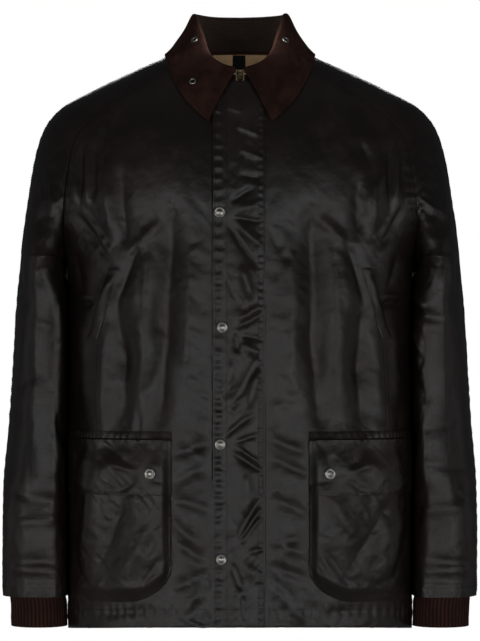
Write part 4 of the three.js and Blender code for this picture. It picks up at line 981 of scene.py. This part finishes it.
for side, word in SIDES:
    for facing, half in ((-1, "front"), (1, "back")):
        folds = BACK_ARM_FOLDS if facing > 0 else (LEFT_ARM_FOLDS if side < 0 else RIGHT_ARM_FOLDS)
        detail = arm_detail(folds, 101 + 7 * side + 3 * facing)
        grid = sleeve_grid(facing, ARM_ROWS, ARM_COLUMNS, detail) * [side, 1, 1]
        z = grid[..., 2]
        axis = np.stack([side * read(SLEEVE, "mid", z), read(SLEEVE, "swing", z), z], axis=-1)
        normal = facing_out(grid, axis)
        above = ease((z[..., None] - ARM_BOTTOM) / 30)
        grid = mix(grid, pucker(grid, normal, "last", 4, 8, 15, 0.7, 5 + side), above)
        grid = pucker(grid, normal, "bottom", 12, 8, 12, 0.8, 61 + side)
        grid = pucker(grid, normal, "first", 2, 8, 16, 0.5, 55)
        lines = [("bottom", 12, 1)] + ([("first", 3, 6)] if facing < 0 else [])
        sewn_panel("sleeve_%s_%s_half" % (word, half), "sleeve_%s_%s" % (word, half), grid,
                   facing_out(grid, axis), lines, ["back_yoke_panel"])
print("sleeves:", ARM_ROWS * ARM_COLUMNS * 4, "triangles a half, about")

# %% [markdown]
# The collar is corduroy, folded over on itself. A path runs from the neck seam up to the fold and
# down to the fall's edge; carrying it round the neck gives the collar's middle surface. The stand
# inside has wales that run round the neck, and the fall has wales that run down, as in the photo.
# A wale is a rounded ridge: height = rise x |cos(pi x distance / pitch)| to the power 0.7.

# %% The collar's middle surface
COLLAR_SHARES = [0, 0.12, 0.24, 0.36, 0.48, 0.6, 0.75, 0.88, 1]
FOLD = {
    "share": COLLAR_SHARES,
    "across": [6, 25, 40, 48, 56, 58.5, 50, 28, 0],
    "depth": [-95, -88, -72, -50, -18, 14, 45, 66, 74],
    "up": [-19, -12, 2, 25, 49, 56, 56, 55.6, 55.4],
}
FALL_EDGE = {
    "share": COLLAR_SHARES,
    "across": [39.5, 53, 68, 81, 91, 94, 80, 46, 0],
    "depth": [-126, -116, -104, -84, -50, 10, 66, 97, 108],
    "up": [-87, -74, -59, -38, -12, 3, -2, -9, -12],
}
COLLAR_WALL = 2.6
FOLD_HALF = 3.1
NECK_RISE = 2.7
FRONT_BULGE, SIDE_BULGE = 2.5, -3
STAND_STEPS, FALL_STEPS = 3, 5
WALE = {"pitch": 3.1, "rise": 0.9}


def neck_point(share):
    """The neck seam of one side: share 0 at the front centre, 1 at the back centre."""
    front_end, over, back_end = 0.3, 0.5, 0.7
    t = np.clip(share / front_end, 0, 1)
    angle = mix(angle_across(FRONT_EDGE, NECK_FRONT), seam_angle(-1, NECK_CORNER), t)
    front = body_point(-1, angle, mix(NECK_FRONT, NECK_CORNER, t * t))
    turn = np.clip((over - share) / (over - front_end), 0, 1)
    shoulder = sleeve_point(-1, turn, mix(NECK_SIDE, NECK_CORNER, turn), NECK_CORNER)
    turn = np.clip((share - over) / (back_end - over), 0, 1)
    behind = sleeve_point(1, turn, mix(NECK_SIDE, NECK_BACK_CORNER, turn), NECK_BACK_CORNER)
    t = np.clip((1 - share) / (1 - back_end), 0, 1)
    angle = mix(0, seam_angle(1, NECK_BACK_CORNER), t)
    back = body_point(1, angle, mix(NECK_BACK, NECK_BACK_CORNER, t * t))
    pick = share[:, None]
    return np.where(pick <= front_end, front, np.where(pick <= over, shoulder,
                    np.where(pick <= back_end, behind, back)))


def along(table, share):
    """Points of a table of places round the collar."""
    return np.stack([read(table, key, share, "share") for key in ("across", "depth", "up")], axis=-1)


def body_field(p):
    """Below 0 inside the body's section and above 0 outside it."""
    wide = read(BODY, "wide", p[..., 2])
    deep = np.where(p[..., 1] < 0, read(BODY, "front", p[..., 2]), read(BODY, "back", p[..., 2]))
    square = read(BODY, "square", p[..., 2])
    return (np.abs(p[..., 0]) / wide) ** square + (np.abs(p[..., 1]) / deep) ** square - 1


def off_body(points, clearance):
    """Moves points straight off the body until they have the clearance."""
    p = points.copy()
    for _ in range(6):
        value = body_field(p)
        slope = np.stack([(body_field(p + e) - body_field(p - e)) for e in np.eye(3) * 0.5], axis=-1)
        size = np.linalg.norm(slope, axis=-1)
        short = clearance - value / size
        p = p + slope / size[..., None] * np.clip(short, 0, 8)[..., None]
    return p


def collar_frame(share):
    """The collar's section at each share, as points from the neck seam over the fold to the edge."""
    level = np.array([1, 1, 0])
    neck, fold, edge = neck_point(share), along(FOLD, share), along(FALL_EDGE, share)
    ahead = np.clip(1 - share / 0.1, 0, 1)[:, None]
    out = unit(unit(fold * level) * (1 - ahead) + np.array([0, -1, 0]) * ahead)
    base = neck - unit(neck * level) * 1.2 + np.array([0, 0, NECK_RISE])
    drop = np.array([0, 0, FOLD_HALF])
    fold_in, fold_out = fold - out * FOLD_HALF - drop, fold + out * FOLD_HALF - drop
    path = [mix(base, fold_in, k / STAND_STEPS) for k in range(STAND_STEPS)] + [fold_in, fold, fold_out]
    bulge = mix(FRONT_BULGE, SIDE_BULGE, ease((share - 0.3) / 0.2)) * ease(share / 0.3)
    for k in range(1, FALL_STEPS + 1):
        t = k / FALL_STEPS
        p = mix(fold_out, edge, t) + out * (bulge * math.sin(math.pi * t))[:, None]
        over_fly = 1 - ease((p[:, 0] - 38) / 14)
        path.append(off_body(p, mix(3.1, 6.9, over_fly * ease((-22 - p[:, 2]) / 10))))
    return np.stack(path)


def smooth_path(knots, at):
    """Points along a path of knots (first axis) by cubic pieces through them (Catmull-Rom)."""
    ends = np.concatenate([2 * knots[:1] - knots[1:2], knots, 2 * knots[-1:] - knots[-2:-1]])
    i = np.clip(np.floor(at).astype(int), 0, len(knots) - 2)
    t = (at - i)[:, None, None]
    a, b, c, d = ends[i], ends[i + 1], ends[i + 2], ends[i + 3]
    return b + 0.5 * t * (c - a + t * (2 * a - 5 * b + 4 * c - d + t * (3 * (b - c) + d - a)))


def collar_surface(path_from, path_to, rows, columns, seam_row):
    """The collar's middle surface from edge to edge, its columns evenly spaced along one row."""
    dense = np.linspace(0, 1, 241)
    line = smooth_path(collar_frame(dense), np.array([float(seam_row)]))[0]
    length = run_along(line, 0)
    shares = np.interp(np.linspace(0, length[-1], columns), length, dense)
    half = smooth_path(collar_frame(shares), np.linspace(path_from, path_to, rows))
    return np.concatenate([half * [-1, 1, 1], half[:, :-1][:, ::-1]], axis=1)


def wale(distance):
    """A rounded ridge for each wale: rise x |cos(pi x distance / pitch)| ^ 0.7."""
    return WALE["rise"] * np.abs(np.cos(math.pi * distance / WALE["pitch"])) ** 0.7


# %% Collar stand and fall
STAND_ROWS, STAND_COLUMNS = 130, 70
FALL_ROWS, FALL_COLUMNS = 24, 560
JOIN = 3.4


def collar_part(name, grid, normal, front, height, crest, material):
    """A part of the collar: its shown face by height, its hidden one flat, and what it stands for."""
    shown = grid + normal * (COLLAR_WALL / 2 - front + height)[..., None]
    part = make_wall(name, shown, grid - normal * COLLAR_WALL / 2, crest=crest / WALE["rise"])
    declare(part, material, "corduroy", ["collar"], cut_of(grid), "folded", ["back_yoke_panel"])
    return shown


# In both collar parts, the wales' crest darkens the corduroy between them as painted shade.
grid = collar_surface(0, JOIN, STAND_ROWS, STAND_COLUMNS, 2)
normal = normals_of(grid)
if np.sum(normal[10, 5] * grid[10, 5] * [1, 1, 0]) > 0:
    normal = -normal
drop = run_along(grid[::-1], 0)[::-1]
wavy = 0.35 * unrest(7, drop, np.broadcast_to(np.arange(grid.shape[1]) * 4.7, drop.shape), 60, 40)
# The stand takes the corduroy copy whose colours are painted light against the shade inside the collar.
collar_part("collar_stand", grid, normal, 0.5, wale(drop) + wavy, wale(drop), INSIDE_CORD_PAINTED_LIGHT)
grid = collar_surface(JOIN + 0.02, 10, FALL_ROWS, FALL_COLUMNS, 8)
normal = normals_of(grid)
middle = grid.shape[1] // 2
if normal[-3, middle, 1] < 0:
    normal = -normal
over = run_along(grid, 1)
over = over - over[:, middle : middle + 1]
row = np.arange(FALL_ROWS)[:, None]
wavy = 0.6 * unrest(17, over, np.broadcast_to(row * 3.75, over.shape), 34, 30)
edge_fade = np.minimum(1, (FALL_ROWS - 1 - row) / 2)
fall_top = collar_part("collar_fall", grid, normal, 0.35, (wale(over) + wavy) * edge_fade, wale(over), CORD)
SEWN.append(edge_run(fall_top, normal, "bottom", 5, 4))
print("collar fall", fall_top.shape)

# %% [markdown]
# Pieces that lie on the fronts take their places from the front's own surface: across and level
# give the point, and a lift carries them off the cloth. So a pocket follows every crease under it.

# %% Places on the front
def on_front(x, z, lift):
    """Points of the front at x and level z, moved out by lift; the side follows x's sign."""
    x, z = np.broadcast_arrays(np.asarray(x, float), np.asarray(z, float))
    side = np.where(x < 0, -1, 1)
    left, right = front_detail(-1), front_detail(1)

    def detail(px, pz):
        return np.where(side < 0, left(px, pz), right(px, pz))

    return body_point(-1, angle_across(np.abs(x), z), z, lift, side, detail)


# %% [markdown]
# The storm flap covers the zip. It is sewn along the viewer's right, snapped on the left, and swells
# between its snaps. Its creases are sharper than the fronts' and run out from the snaps.

# %% Storm flap
FLY = {"left": -33, "right": 31, "top": -34, "lift": 1.0, "wall": 1.8, "bottom": HEM_FRONT + 0.5}
FLY_ROWS, FLY_COLUMNS = 340, 44
SNAP_LINE = -23.5
SNAP_LEVELS = [-199.5, -341.5, -486, -628]
FLY_FOLDS = [
    (-18, -68, 2, -74, 4, 1.5), (-3, -92, 23, -103, 4, 2.0), (4, -123, 26, -132, 4, 2.0),
    (2, -155, 28, -160, 4, -1.8), (-10, -187, 17, -171, 3.4, -2.6), (-9, -205, 30, -212, 3.4, -2.6),
    (-18, -206, 26, -273, 6.5, -3.8), (26, -273, 30, -302, 6, -2.6), (-4, -196, 26, -190, 6, 2.0),
    (0, -217, 28, -242, 6, 2.4), (2, -264, 15, -306, 6, 3.2), (-18, -272, 6, -325, 7, -2.8),
    (-6, -343, 30, -324, 3.6, -2.6), (-8, -350, -4, -374, 4, -2.6), (0, -352, 28, -356, 4, -1.8),
    (0, -333, 26, -315, 5, 2.0), (2, -362, 26, -382, 6, 2.2), (29, -364, -11, -446, 6.5, -3.6),
    (21, -394, 13, -442, 6, 2.8), (-12, -384, -16, -430, 6, 1.8), (-18, -476, 19, -448, 3.6, -2.6),
    (-8, -485, 24, -474, 3.2, -2.0), (-11, -496, 29, -521, 3.8, -3.2), (-4, -491, 27, -512, 3.2, 2.0),
    (29, -521, 27, -550, 5, -2.8), (27, -550, -8, -606, 4, -3.4), (28, -574, -6, -611, 3.2, -2.6),
    (28, -563, -2, -606, 3.2, 2.6), (6, -512, 10, -580, 7, 2.2), (-11, -631, 2, -668, 4.5, -3.2),
    (12, -618, 30, -614, 4, -2.4), (4, -630, 24, -656, 7, 2.2), (2, -668, 5, -706, 4, -2.0),
]


def fly_lift(x, z):
    """Distance of the storm flap's inner face from the front; its free side stands off more."""
    free = ease((FLY["right"] - x) / 20)
    return FLY["lift"] + 0.9 * free + 0.4 * free * np.sin(z / 16)


def blobs(z, pitch, seed):
    """Rounded puckers between stitches, unevenly spaced and strong, along a seam: 0 to 1."""
    wave = np.sin(2 * math.pi * z / pitch + 1.6 * unrest(seed, z, 0 * z, 3.1 * pitch, 50))
    return (0.5 + 0.5 * wave) ** 1.6 * (0.75 + 0.25 * unrest(seed + 1, z, 0 * z, 2.3 * pitch, 50))


def fly_surface(x, z):
    """The outer face of the storm flap: it swells between its snaps and creases out from them."""
    free = ease((FLY["right"] - 4 - x) / 18)
    level = np.array(SNAP_LEVELS)[:, None, None]
    snap = bell(z[None], level, 9).sum(axis=0) * bell(x, SNAP_LINE, 8)
    near = bell(z[None], level, 15).sum(axis=0)
    swell = 1.1 * free * (1 - near) * (0.6 + 0.4 * np.sin(z / 23.0))
    inside = ease((FLY["right"] - x) / 7) * ease((x - FLY["left"]) / 7)
    creases = FOLD_GAIN * crease_height(FLY_FOLDS, *wander(231, x, z, 2.0)) * inside
    edge = 1.7 * bell(x, FLY["left"] + 6.5, 5) * blobs(z, 15, 211)
    curl = 1.2 * ease((FLY["left"] + 3.5 - x) / 3.5)
    seam = 1.1 * bell(x, FLY["right"] - 5.5, 3) * blobs(z, 8.9, 223)
    extra = swell + creases + 0.3 * rumple(219, x, z) + 0.35 * inside * crinkle(241, x, z, 12)
    extra = (extra + edge + seam) * (1 - 0.85 * snap) + curl
    return on_front(x, z, fly_lift(x, z) + FLY["wall"] + np.maximum(extra, -2.4))


x, z = np.meshgrid(np.linspace(FLY["left"], FLY["right"], FLY_COLUMNS),
                   np.linspace(FLY["top"], FLY["bottom"], FLY_ROWS))
thin_piece("storm_flap_cloth", "storm_flap", fly_surface(x, z), -360, 1.5, 0.5,
           [("last", 2.5, 1), ("last", 8.5, 1), ("first", 2.5, 1), ("first", 17, 1), ("bottom", 23, 2)],
           "front_panel_right")

# %% [markdown]
# A bellows pocket is a bag that stands off the front on a folded gusset. Its lower inner corner is
# round. The flap hangs over it from a gathered band with two rows of stitching.

# %% Pockets
POCKET = {"inner": 85, "outer": 211, "top": -484, "bottom": -682, "corner": 44, "span": 145, "proud": 12,
          "wall": 1.8, "lift": 0.8}
FLAP = {"top": -470, "bottom": -549, "lift": 0.9, "wall": 1.6, "snap": (22.33, -52)}
# Creases of the bags and flaps: shares across and down to shares across and down, half width, depth.
BAG_FOLDS = {
    -1: [(0.2, 0.22, 0.56, 0.86, 10, -5.0), (0.45, 0.2, 0.76, 0.76, 12, 3.8),
         (0.08, 0.48, 0.36, 0.92, 9, 3.2), (0.04, 0.2, 0.3, 0.3, 5, -2.4), (0.1, 0.26, 0.32, 0.4, 4, 1.8),
         (0.5, 0.97, 0.86, 0.78, 7, -2.8), (0.68, 0.3, 0.82, 0.55, 8, -2.6),
         (0.06, 0.75, 0.2, 0.95, 5, -2.2)],
    1: [(0.28, 0.2, 0.66, 0.56, 9, -3.6), (0.62, 0.3, 0.2, 0.86, 9, -4.6), (0.84, 0.3, 0.48, 0.92, 12, 3.8),
        (0.1, 0.34, 0.3, 0.6, 8, 3.0), (0.34, 0.96, 0.74, 0.8, 7, -2.6), (0.04, 0.22, 0.3, 0.27, 5, -2.4),
        (0.05, 0.7, 0.3, 0.95, 6, -2.2), (0.42, 0.24, 0.5, 0.4, 6, 2.0)],
}
FLAP_FOLDS = [
    (0.46, 0.16, 0.2, 0.6, 6, -2.6), (0.08, 0.2, 0.13, 0.56, 5, -2.2), (0.2, 0.72, 0.36, 0.98, 5, -2.2),
    (0.3, 0.26, 0.52, 0.86, 9, 2.6), (0.62, 0.2, 0.9, 0.6, 11, -2.4), (0.54, 0.94, 0.96, 0.7, 9, 2.2),
    (0.04, 0.8, 0.13, 0.7, 4, -1.8), (0.22, 0.6, 0.4, 0.5, 4, 1.8),
]


def shared_folds(folds, tall):
    """A pocket's creases in distances along its cloth, from their shares."""
    scale = np.array([POCKET["span"], -tall, POCKET["span"], -tall, 1, 1])
    return [np.array(fold) * scale for fold in folds]


def pocket_point(side, across, z, lift):
    """A point of the pocket's ground: share 0 to 1 across between its inner and outer edges."""
    first, last = angle_across(POCKET["inner"], z), angle_across(POCKET["outer"], z)
    return body_point(-1, mix(first, last, across), z, lift, side, front_detail(side))


def pocket_bottom(across):
    """The lower edge, rising in a quarter round towards the inner side."""
    rest = np.clip(POCKET["corner"] - across * POCKET["span"], 0, POCKET["corner"])
    return POCKET["bottom"] + POCKET["corner"] - np.sqrt(POCKET["corner"] ** 2 - rest**2)


def bag_stand(across, down):
    """How far the bag stands off: steep gussets inside and below, a slow rise outside."""
    inner, outer = ease(across / 0.05), ease((1 - across) / 0.5)
    slack = (0.72 + 0.28 * np.sin(math.pi * np.minimum(1, down * 1.15))) * mix(0.45, 1, ease(down / 0.17))
    return POCKET["lift"] + POCKET["proud"] * inner * outer * ease((1 - down) / 0.1) * slack


def bag_detail(side, across, down):
    """Creases and unrest of the bag, in the distances along its cloth."""
    high = POCKET["top"] - POCKET["bottom"]
    u, v = across * POCKET["span"], -down * high
    edge = ease(across / 0.1) * ease((1 - across) / 0.15) * ease((1 - down) / 0.14) * ease(down / 0.2)
    made = 0.85 * crease_height(shared_folds(BAG_FOLDS[side], high), *wander(311 + side, u, v, 4.0))
    return (made + rumple(301 + side, u, v, 1.0) + 0.6 * crinkle(321 + side, u, v, 15)) * edge


def flap_stand(across, down):
    """How far the flap stands off: flat at its band, then over the bag."""
    z = mix(FLAP["top"], FLAP["bottom"], down)
    under = (POCKET["top"] - z) / (POCKET["top"] - POCKET["bottom"])
    bag = bag_stand(across, np.maximum(0, under)) - POCKET["lift"] + POCKET["wall"]
    return FLAP["lift"] + (np.maximum(0, np.where(under < -0.02, 0, bag)) + 0.9) * ease(down / 0.13)


def flap_detail(side, across, down):
    """Creases and unrest of the flap, its gathers under the band and the puckers of its hem."""
    tall = FLAP["top"] - FLAP["bottom"]
    u, v = across * POCKET["span"], -down * tall
    folds = crease_height(shared_folds(FLAP_FOLDS, tall), *wander(335 + side, u, v, 3.0))
    swell = 0.8 * folds + 0.6 * rumple(331 + side, u, v) + 0.4 * crinkle(337 + side, u, v, 14)
    inside = ease(down / 0.2) * ease((1 - down) / 0.1) * ease(across / 0.04) * ease((1 - across) / 0.06)
    snap = 1 - 0.9 * bell(u, FLAP["snap"][0], 9) * bell(v, FLAP["snap"][1], 9)
    gather = 1.5 * (blobs(u, 7.5, 341 + side) - 0.4) * bell(v, -6.5, 6)
    return swell * inside * snap + gather + 0.6 * (blobs(u, 9, 351 + side) - 0.5) * bell(down, 1, 0.09)


BAG_ROWS, BAG_COLUMNS, FLAP_ROWS = 84, 84, 46
BAG_LINES = [("first", 12, 6), ("bottom", 13, 6), ("first", 2.5, 3), ("bottom", 2.5, 3)]
FLAP_LINES = [("top", 3, 2), ("top", 10, 2), ("first", 3.5, 3), ("bottom", 3.5, 3), ("last", 3.5, 3)]
for side, word in SIDES:
    share = np.linspace(0, 1, BAG_COLUMNS) ** 1.15
    across, down = np.meshgrid(share, 1 - np.linspace(1, 0, BAG_ROWS) ** 1.15)
    lift = bag_stand(across, down) + POCKET["wall"] + bag_detail(side, across, down)
    grid = pocket_point(side, across, mix(POCKET["top"], pocket_bottom(across), down), lift)
    thin_piece("bellows_bag_" + word, "pocket_bag_" + word, grid, -580, 1.5, 0.4, BAG_LINES,
               "front_panel_" + word)
    across, down = np.meshgrid(np.linspace(0, 1, BAG_COLUMNS), np.linspace(0, 1, FLAP_ROWS))
    lift = flap_stand(across, down) + FLAP["wall"] + flap_detail(side, across, down)
    grid = pocket_point(side, across, mix(FLAP["top"], FLAP["bottom"], down), lift)
    thin_piece("pocket_flap_cloth_" + word, "pocket_flap_" + word, grid, -510, 1.4, 0.45, FLAP_LINES,
               "front_panel_" + word)
print("pockets:", len(MADE), "pieces so far")

# %% [markdown]
# A hand-warmer pocket opens behind a slanted welt, and two stitched lines run down from its end,
# where the pocket's bag is sewn to the inside of the front.

# %% Hand-warmer welts
WELT = {"top": (150, -268), "bottom": (176, -356), "width": 13, "lift": 0.4, "wall": 1.3}
BAG_SEAMS = {-1: (171.0, 176.0), 1: (178.0, 183.0)}
for side, word in SIDES:
    t, s = np.meshgrid(np.linspace(0, 1, 44), np.linspace(0, 1, 10), indexing="ij")
    z = mix(WELT["top"][1], WELT["bottom"][1], t)
    across = mix(WELT["top"][0], WELT["bottom"][0], t) + s * WELT["width"]
    puff = 0.5 * np.sin(math.pi * s) + 0.5 * unrest(401 + side, t * 92, s * 12, 12, 9)
    sunk = 1.2 * ease((s - 0.5) / 0.5) * ease(t / 0.1) * ease((1 - t) / 0.1)
    grid = on_front(side * across, z, WELT["lift"] + WELT["wall"] + puff - sunk)
    thin_piece("welt_cloth_" + word, "handwarmer_welt_" + word, grid, -310, 1.4, 0.5,
               [("first", 2.2, 1), ("last", 2.2, 1)], "front_panel_" + word, "folded")
    down = np.linspace(WELT["bottom"][1] - 8, FLAP["top"] + 6, 60)
    for across in BAG_SEAMS[side]:
        line = on_front(side * across, down, 0.1)
        SEWN.append((line, unit(on_front(side * across, down, 1.1) - line)))

# %% [markdown]
# The cuffs are rib knit, sewn inside the sleeves. Their ribs are round ridges that run up the arm:
# radius = section + rise x |cos(ribs x angle / 2)|, so one formula gives all of them.

# %% Cuffs
CUFF = {
    "z": [-640, -655, -672, -690, -718],
    "across": [-3.6, -4, -5.3, -5.6, -5.6],
    "depth": [-4.1, -8, -15, -16, -17],
    "inset": [0, 0, 1.3, 4.5, 4.9],
}
RIBS, CUFF_SIDES, CUFF_ROWS = 44, 352, 16
CUFF_WALL = 2.0
for side, word in SIDES:
    z = np.linspace(CUFF["z"][0], CUFF["z"][-1], CUFF_ROWS)[:, None]
    angle = 2 * math.pi * np.arange(CUFF_SIDES)[None, :] / CUFF_SIDES
    level = np.maximum(z, SLEEVE_END)
    mid = read(SLEEVE, "mid", level)
    below = ease((-676 - z) / 12)
    rib = np.abs(np.cos(RIBS * angle / 2)) ** 0.8 * mix(0.5, 1.1, below) - 0.55
    sag = 0.5 * unrest(501 + side, angle * 30, z, 14, 12) * below
    layers = []
    for raised in (rib + sag, -CUFF_WALL):
        half = read(SLEEVE, "outer", level) - mid + read(CUFF, "across", z) + raised
        deep = read(SLEEVE, "depth", level) + read(CUFF, "depth", z) + raised
        x = side * (mid - read(CUFF, "inset", z) + half * np.cos(angle))
        y = read(SLEEVE, "swing", level) + deep * np.sin(angle)
        layers.append(np.stack(np.broadcast_arrays(x, y, z), axis=-1))
    # The ribs' crest darkens the knit between them as painted shade.
    crest = np.broadcast_to(np.abs(np.cos(RIBS * angle / 2)), x.shape)
    cuff = make_wall("rib_cuff_" + word, layers[0], layers[1], wraps=True, crest=crest)
    around, tall, _ = cut_of(layers[1])
    declare(cuff, KNIT, "rib_knit", ["cuff_" + word], (around * 1.05, tall, None), "stretched",
            ["sleeve_%s_front_half" % word])

# %% [markdown]
# Through the open neck the lining shows at the back, pleated a little, with a blank label on it.

# %% Lining and label inside the neck
row, share = np.meshgrid(np.linspace(0.12, 5, 40), np.linspace(-0.6, 0.6, 80), indexing="ij")
centre, seam = read(BACK_LINES, "centre", row, "row"), read(BACK_LINES, "seam", row, "row")
angle = seam_angle(1, seam) * np.abs(share)
z = mix(centre, seam, share**2)
pleat = 0.35 * unrest(601, share * 160, z, 9, 60)
grid = body_point(1, angle, z, -CLOTH - 1.0 + pleat * 0.4, np.where(share < 0, -1, 1), back_detail)
normal = facing_out(grid, [0, 0, -60])
lining = make_wall("neck_lining_cloth", grid - normal * 0.5, grid + normal * 0.25)
declare(lining, LINING, "lining", ["neck_lining"], cut_of(grid), "hung", ["back_yoke_panel"])
z, x = np.meshgrid(np.linspace(9.5, -8, 14), np.linspace(-10, 7.5, 24), indexing="ij")
grid = body_point(1, angle_across(np.abs(x), z), z, -CLOTH - 2.9 + 0.12 * unrest(611, x, z, 9, 7),
                  np.where(x < 0, -1, 1))
normal = facing_out(grid, [0, 0, -20])
label = make_wall("blank_label", grid - normal * 0.3, grid + normal * 0.3)
declare(label, LABEL, "label", ["neck_label"], cut_of(grid), "hung", ["neck_lining_cloth"])

# %% [markdown]
# The zip lies under the storm flap. Its teeth alternate from side to side and lap over the middle,
# each a small block that is thinner at its tip: reach and lap are its two ends from the centre line.

# %% Zip: tapes and teeth
TAPE_CUT = {"inner": 3.4, "outer": 16, "top": -34, "bottom": -702, "depth": 2.7, "wall": 1.0}
for side, word in SIDES:
    x, z = np.meshgrid(np.linspace(TAPE_CUT["inner"], TAPE_CUT["outer"], 8),
                       np.linspace(TAPE_CUT["top"], TAPE_CUT["bottom"], 150))
    grid = on_front(side * x, z, -TAPE_CUT["depth"])
    thin_piece("zip_tape_cloth_" + word, "zip_tape_" + word, grid, -360, TAPE_CUT["wall"], 0.1, [],
               "front_panel_" + word, finish=(TAPE, "zip_tape"))
TOOTH = {"top": -27.3, "bottom": -700, "pitch": 1.35, "reach": 3.0, "lap": 0.5, "tall": 1.15, "front": 0.9,
         "back": -1.5}
levels = np.arange(TOOTH["top"], TOOTH["bottom"], -TOOTH["pitch"])
hand = np.where(np.arange(len(levels)) % 2, 1, -1)
seat, above = on_front(0.001, levels, 0.0), on_front(0.001, levels + 1, 0.0)
rise = unit(above - seat)
out = unit(np.cross([1.0, 0, 0], rise))
out = np.where((out[:, 1] > 0)[:, None], -out, out)
corners = []
for depth in (TOOTH["back"], TOOTH["front"]):
    for inward, high in ((True, -1), (False, -1), (False, 1), (True, 1)):
        x = -hand * TOOTH["lap"] if inward else hand * TOOTH["reach"]
        taper = 0.8 if inward else 1.0
        place = rise * high * TOOTH["tall"] / 2 + out * depth
        corners.append(seat * [0, 1, 1] + x[:, None] * [1, 0, 0] + place * taper)
points = np.stack(corners, axis=1)
quads = np.array([(0, 3, 2, 1), (4, 5, 6, 7), (0, 1, 5, 4), (1, 2, 6, 5), (2, 3, 7, 6), (3, 0, 4, 7)])
faces = np.concatenate([outward(tooth, quads) + 8 * number for number, tooth in enumerate(points)])
points = points.reshape(-1, 3)
teeth = make_object("zip_teeth", points, faces, smooth=False)
declare(teeth, BRASS, "brass", ["zip_chain"])
print("zip teeth", len(levels))

# %% [markdown]
# Snaps and studs are turned parts. Each takes its axis and foot from its own solid: the direction
# in which the solid's points spread least is its axis. The caps are plain, with a rolled rim.

# %% Snaps, studs and zip pull
TURNED_CORNER = math.radians(50)
TURNED_SIDES = 48


def turned(name, node, profile):
    """A steel lathe piece in place of a round solid: profile radius and height about its axis."""
    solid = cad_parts[node].data
    places = np.zeros(len(solid.vertices) * 3)
    solid.vertices.foreach_get("co", places)
    places = np.unique(np.round(places.reshape(-1, 3) / MM, 3), axis=0)
    middle = places.mean(axis=0)
    _, _, turns = np.linalg.svd(places - middle)
    axis = turns[2]
    if np.dot(axis, middle * [1, 1, 0]) < 0:
        axis = -axis
    foot = middle + axis * ((places - middle) @ axis).min()
    first = unit(np.cross(axis, [0, 0, 1.0]))
    second = np.cross(axis, first)
    angle = 2 * math.pi * np.arange(TURNED_SIDES) / TURNED_SIDES
    radius, high = np.array(profile, float).T
    ring = np.cos(angle)[:, None] * first + np.sin(angle)[:, None] * second
    points = (foot + radius[:, None, None] * ring[None] + high[:, None, None] * axis).reshape(-1, 3)
    index = np.arange(len(points)).reshape(-1, TURNED_SIDES)
    after = np.roll(index, -1, axis=1)
    faces = np.stack([index, after, np.roll(after, -1, axis=0), np.roll(index, -1, axis=0)], axis=-1)
    obj = make_object(name, points, outward(points, faces.reshape(-1, 4)))
    obj.data.set_sharp_from_angle(angle=TURNED_CORNER)
    declare(obj, STEEL, "steel", [node])


CAP = [(0.02, 0), (6.4, 0), (7.0, 0.35), (7.2, 0.95), (7.05, 1.7), (6.5, 2.35), (5.8, 2.6), (5.2, 2.45),
       (4.7, 2.1), (4.2, 2.05), (3.2, 2.55), (2.0, 2.95), (1.0, 3.1), (0.02, 3.15)]
RING = [(2.1, 0), (4.7, 0), (5.0, 0.35), (4.95, 0.9), (4.5, 1.55), (3.8, 1.9), (3.0, 1.75), (2.4, 1.3),
        (2.1, 0.8)]
for number in (1, 2, 3, 4):
    turned("storm_cap_%d" % number, "storm_snap_%d" % number, CAP)
for word in ("left", "right"):
    turned("pocket_cap_" + word, "pocket_snap_" + word, CAP)
for word in ("left", "right", "lower"):
    turned("collar_ring_" + word, "collar_stud_" + word, RING)
for name in ("zip_slider", "zip_pull_tab"):
    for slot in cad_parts[name].material_slots:
        slot.material = BRASS

# %% [markdown]
# All the noted lines become one mesh of stitches.

# %% Stitching
thread = sew("seam_stitching", SEWN)
declare(thread, THREAD, "waxed_cotton", [])

# %% Sizes and finish
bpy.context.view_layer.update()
for obj in MADE.values():
    obj.data.calc_loop_triangles()
print("triangles:", sum(len(obj.data.loop_triangles) for obj in MADE.values()))
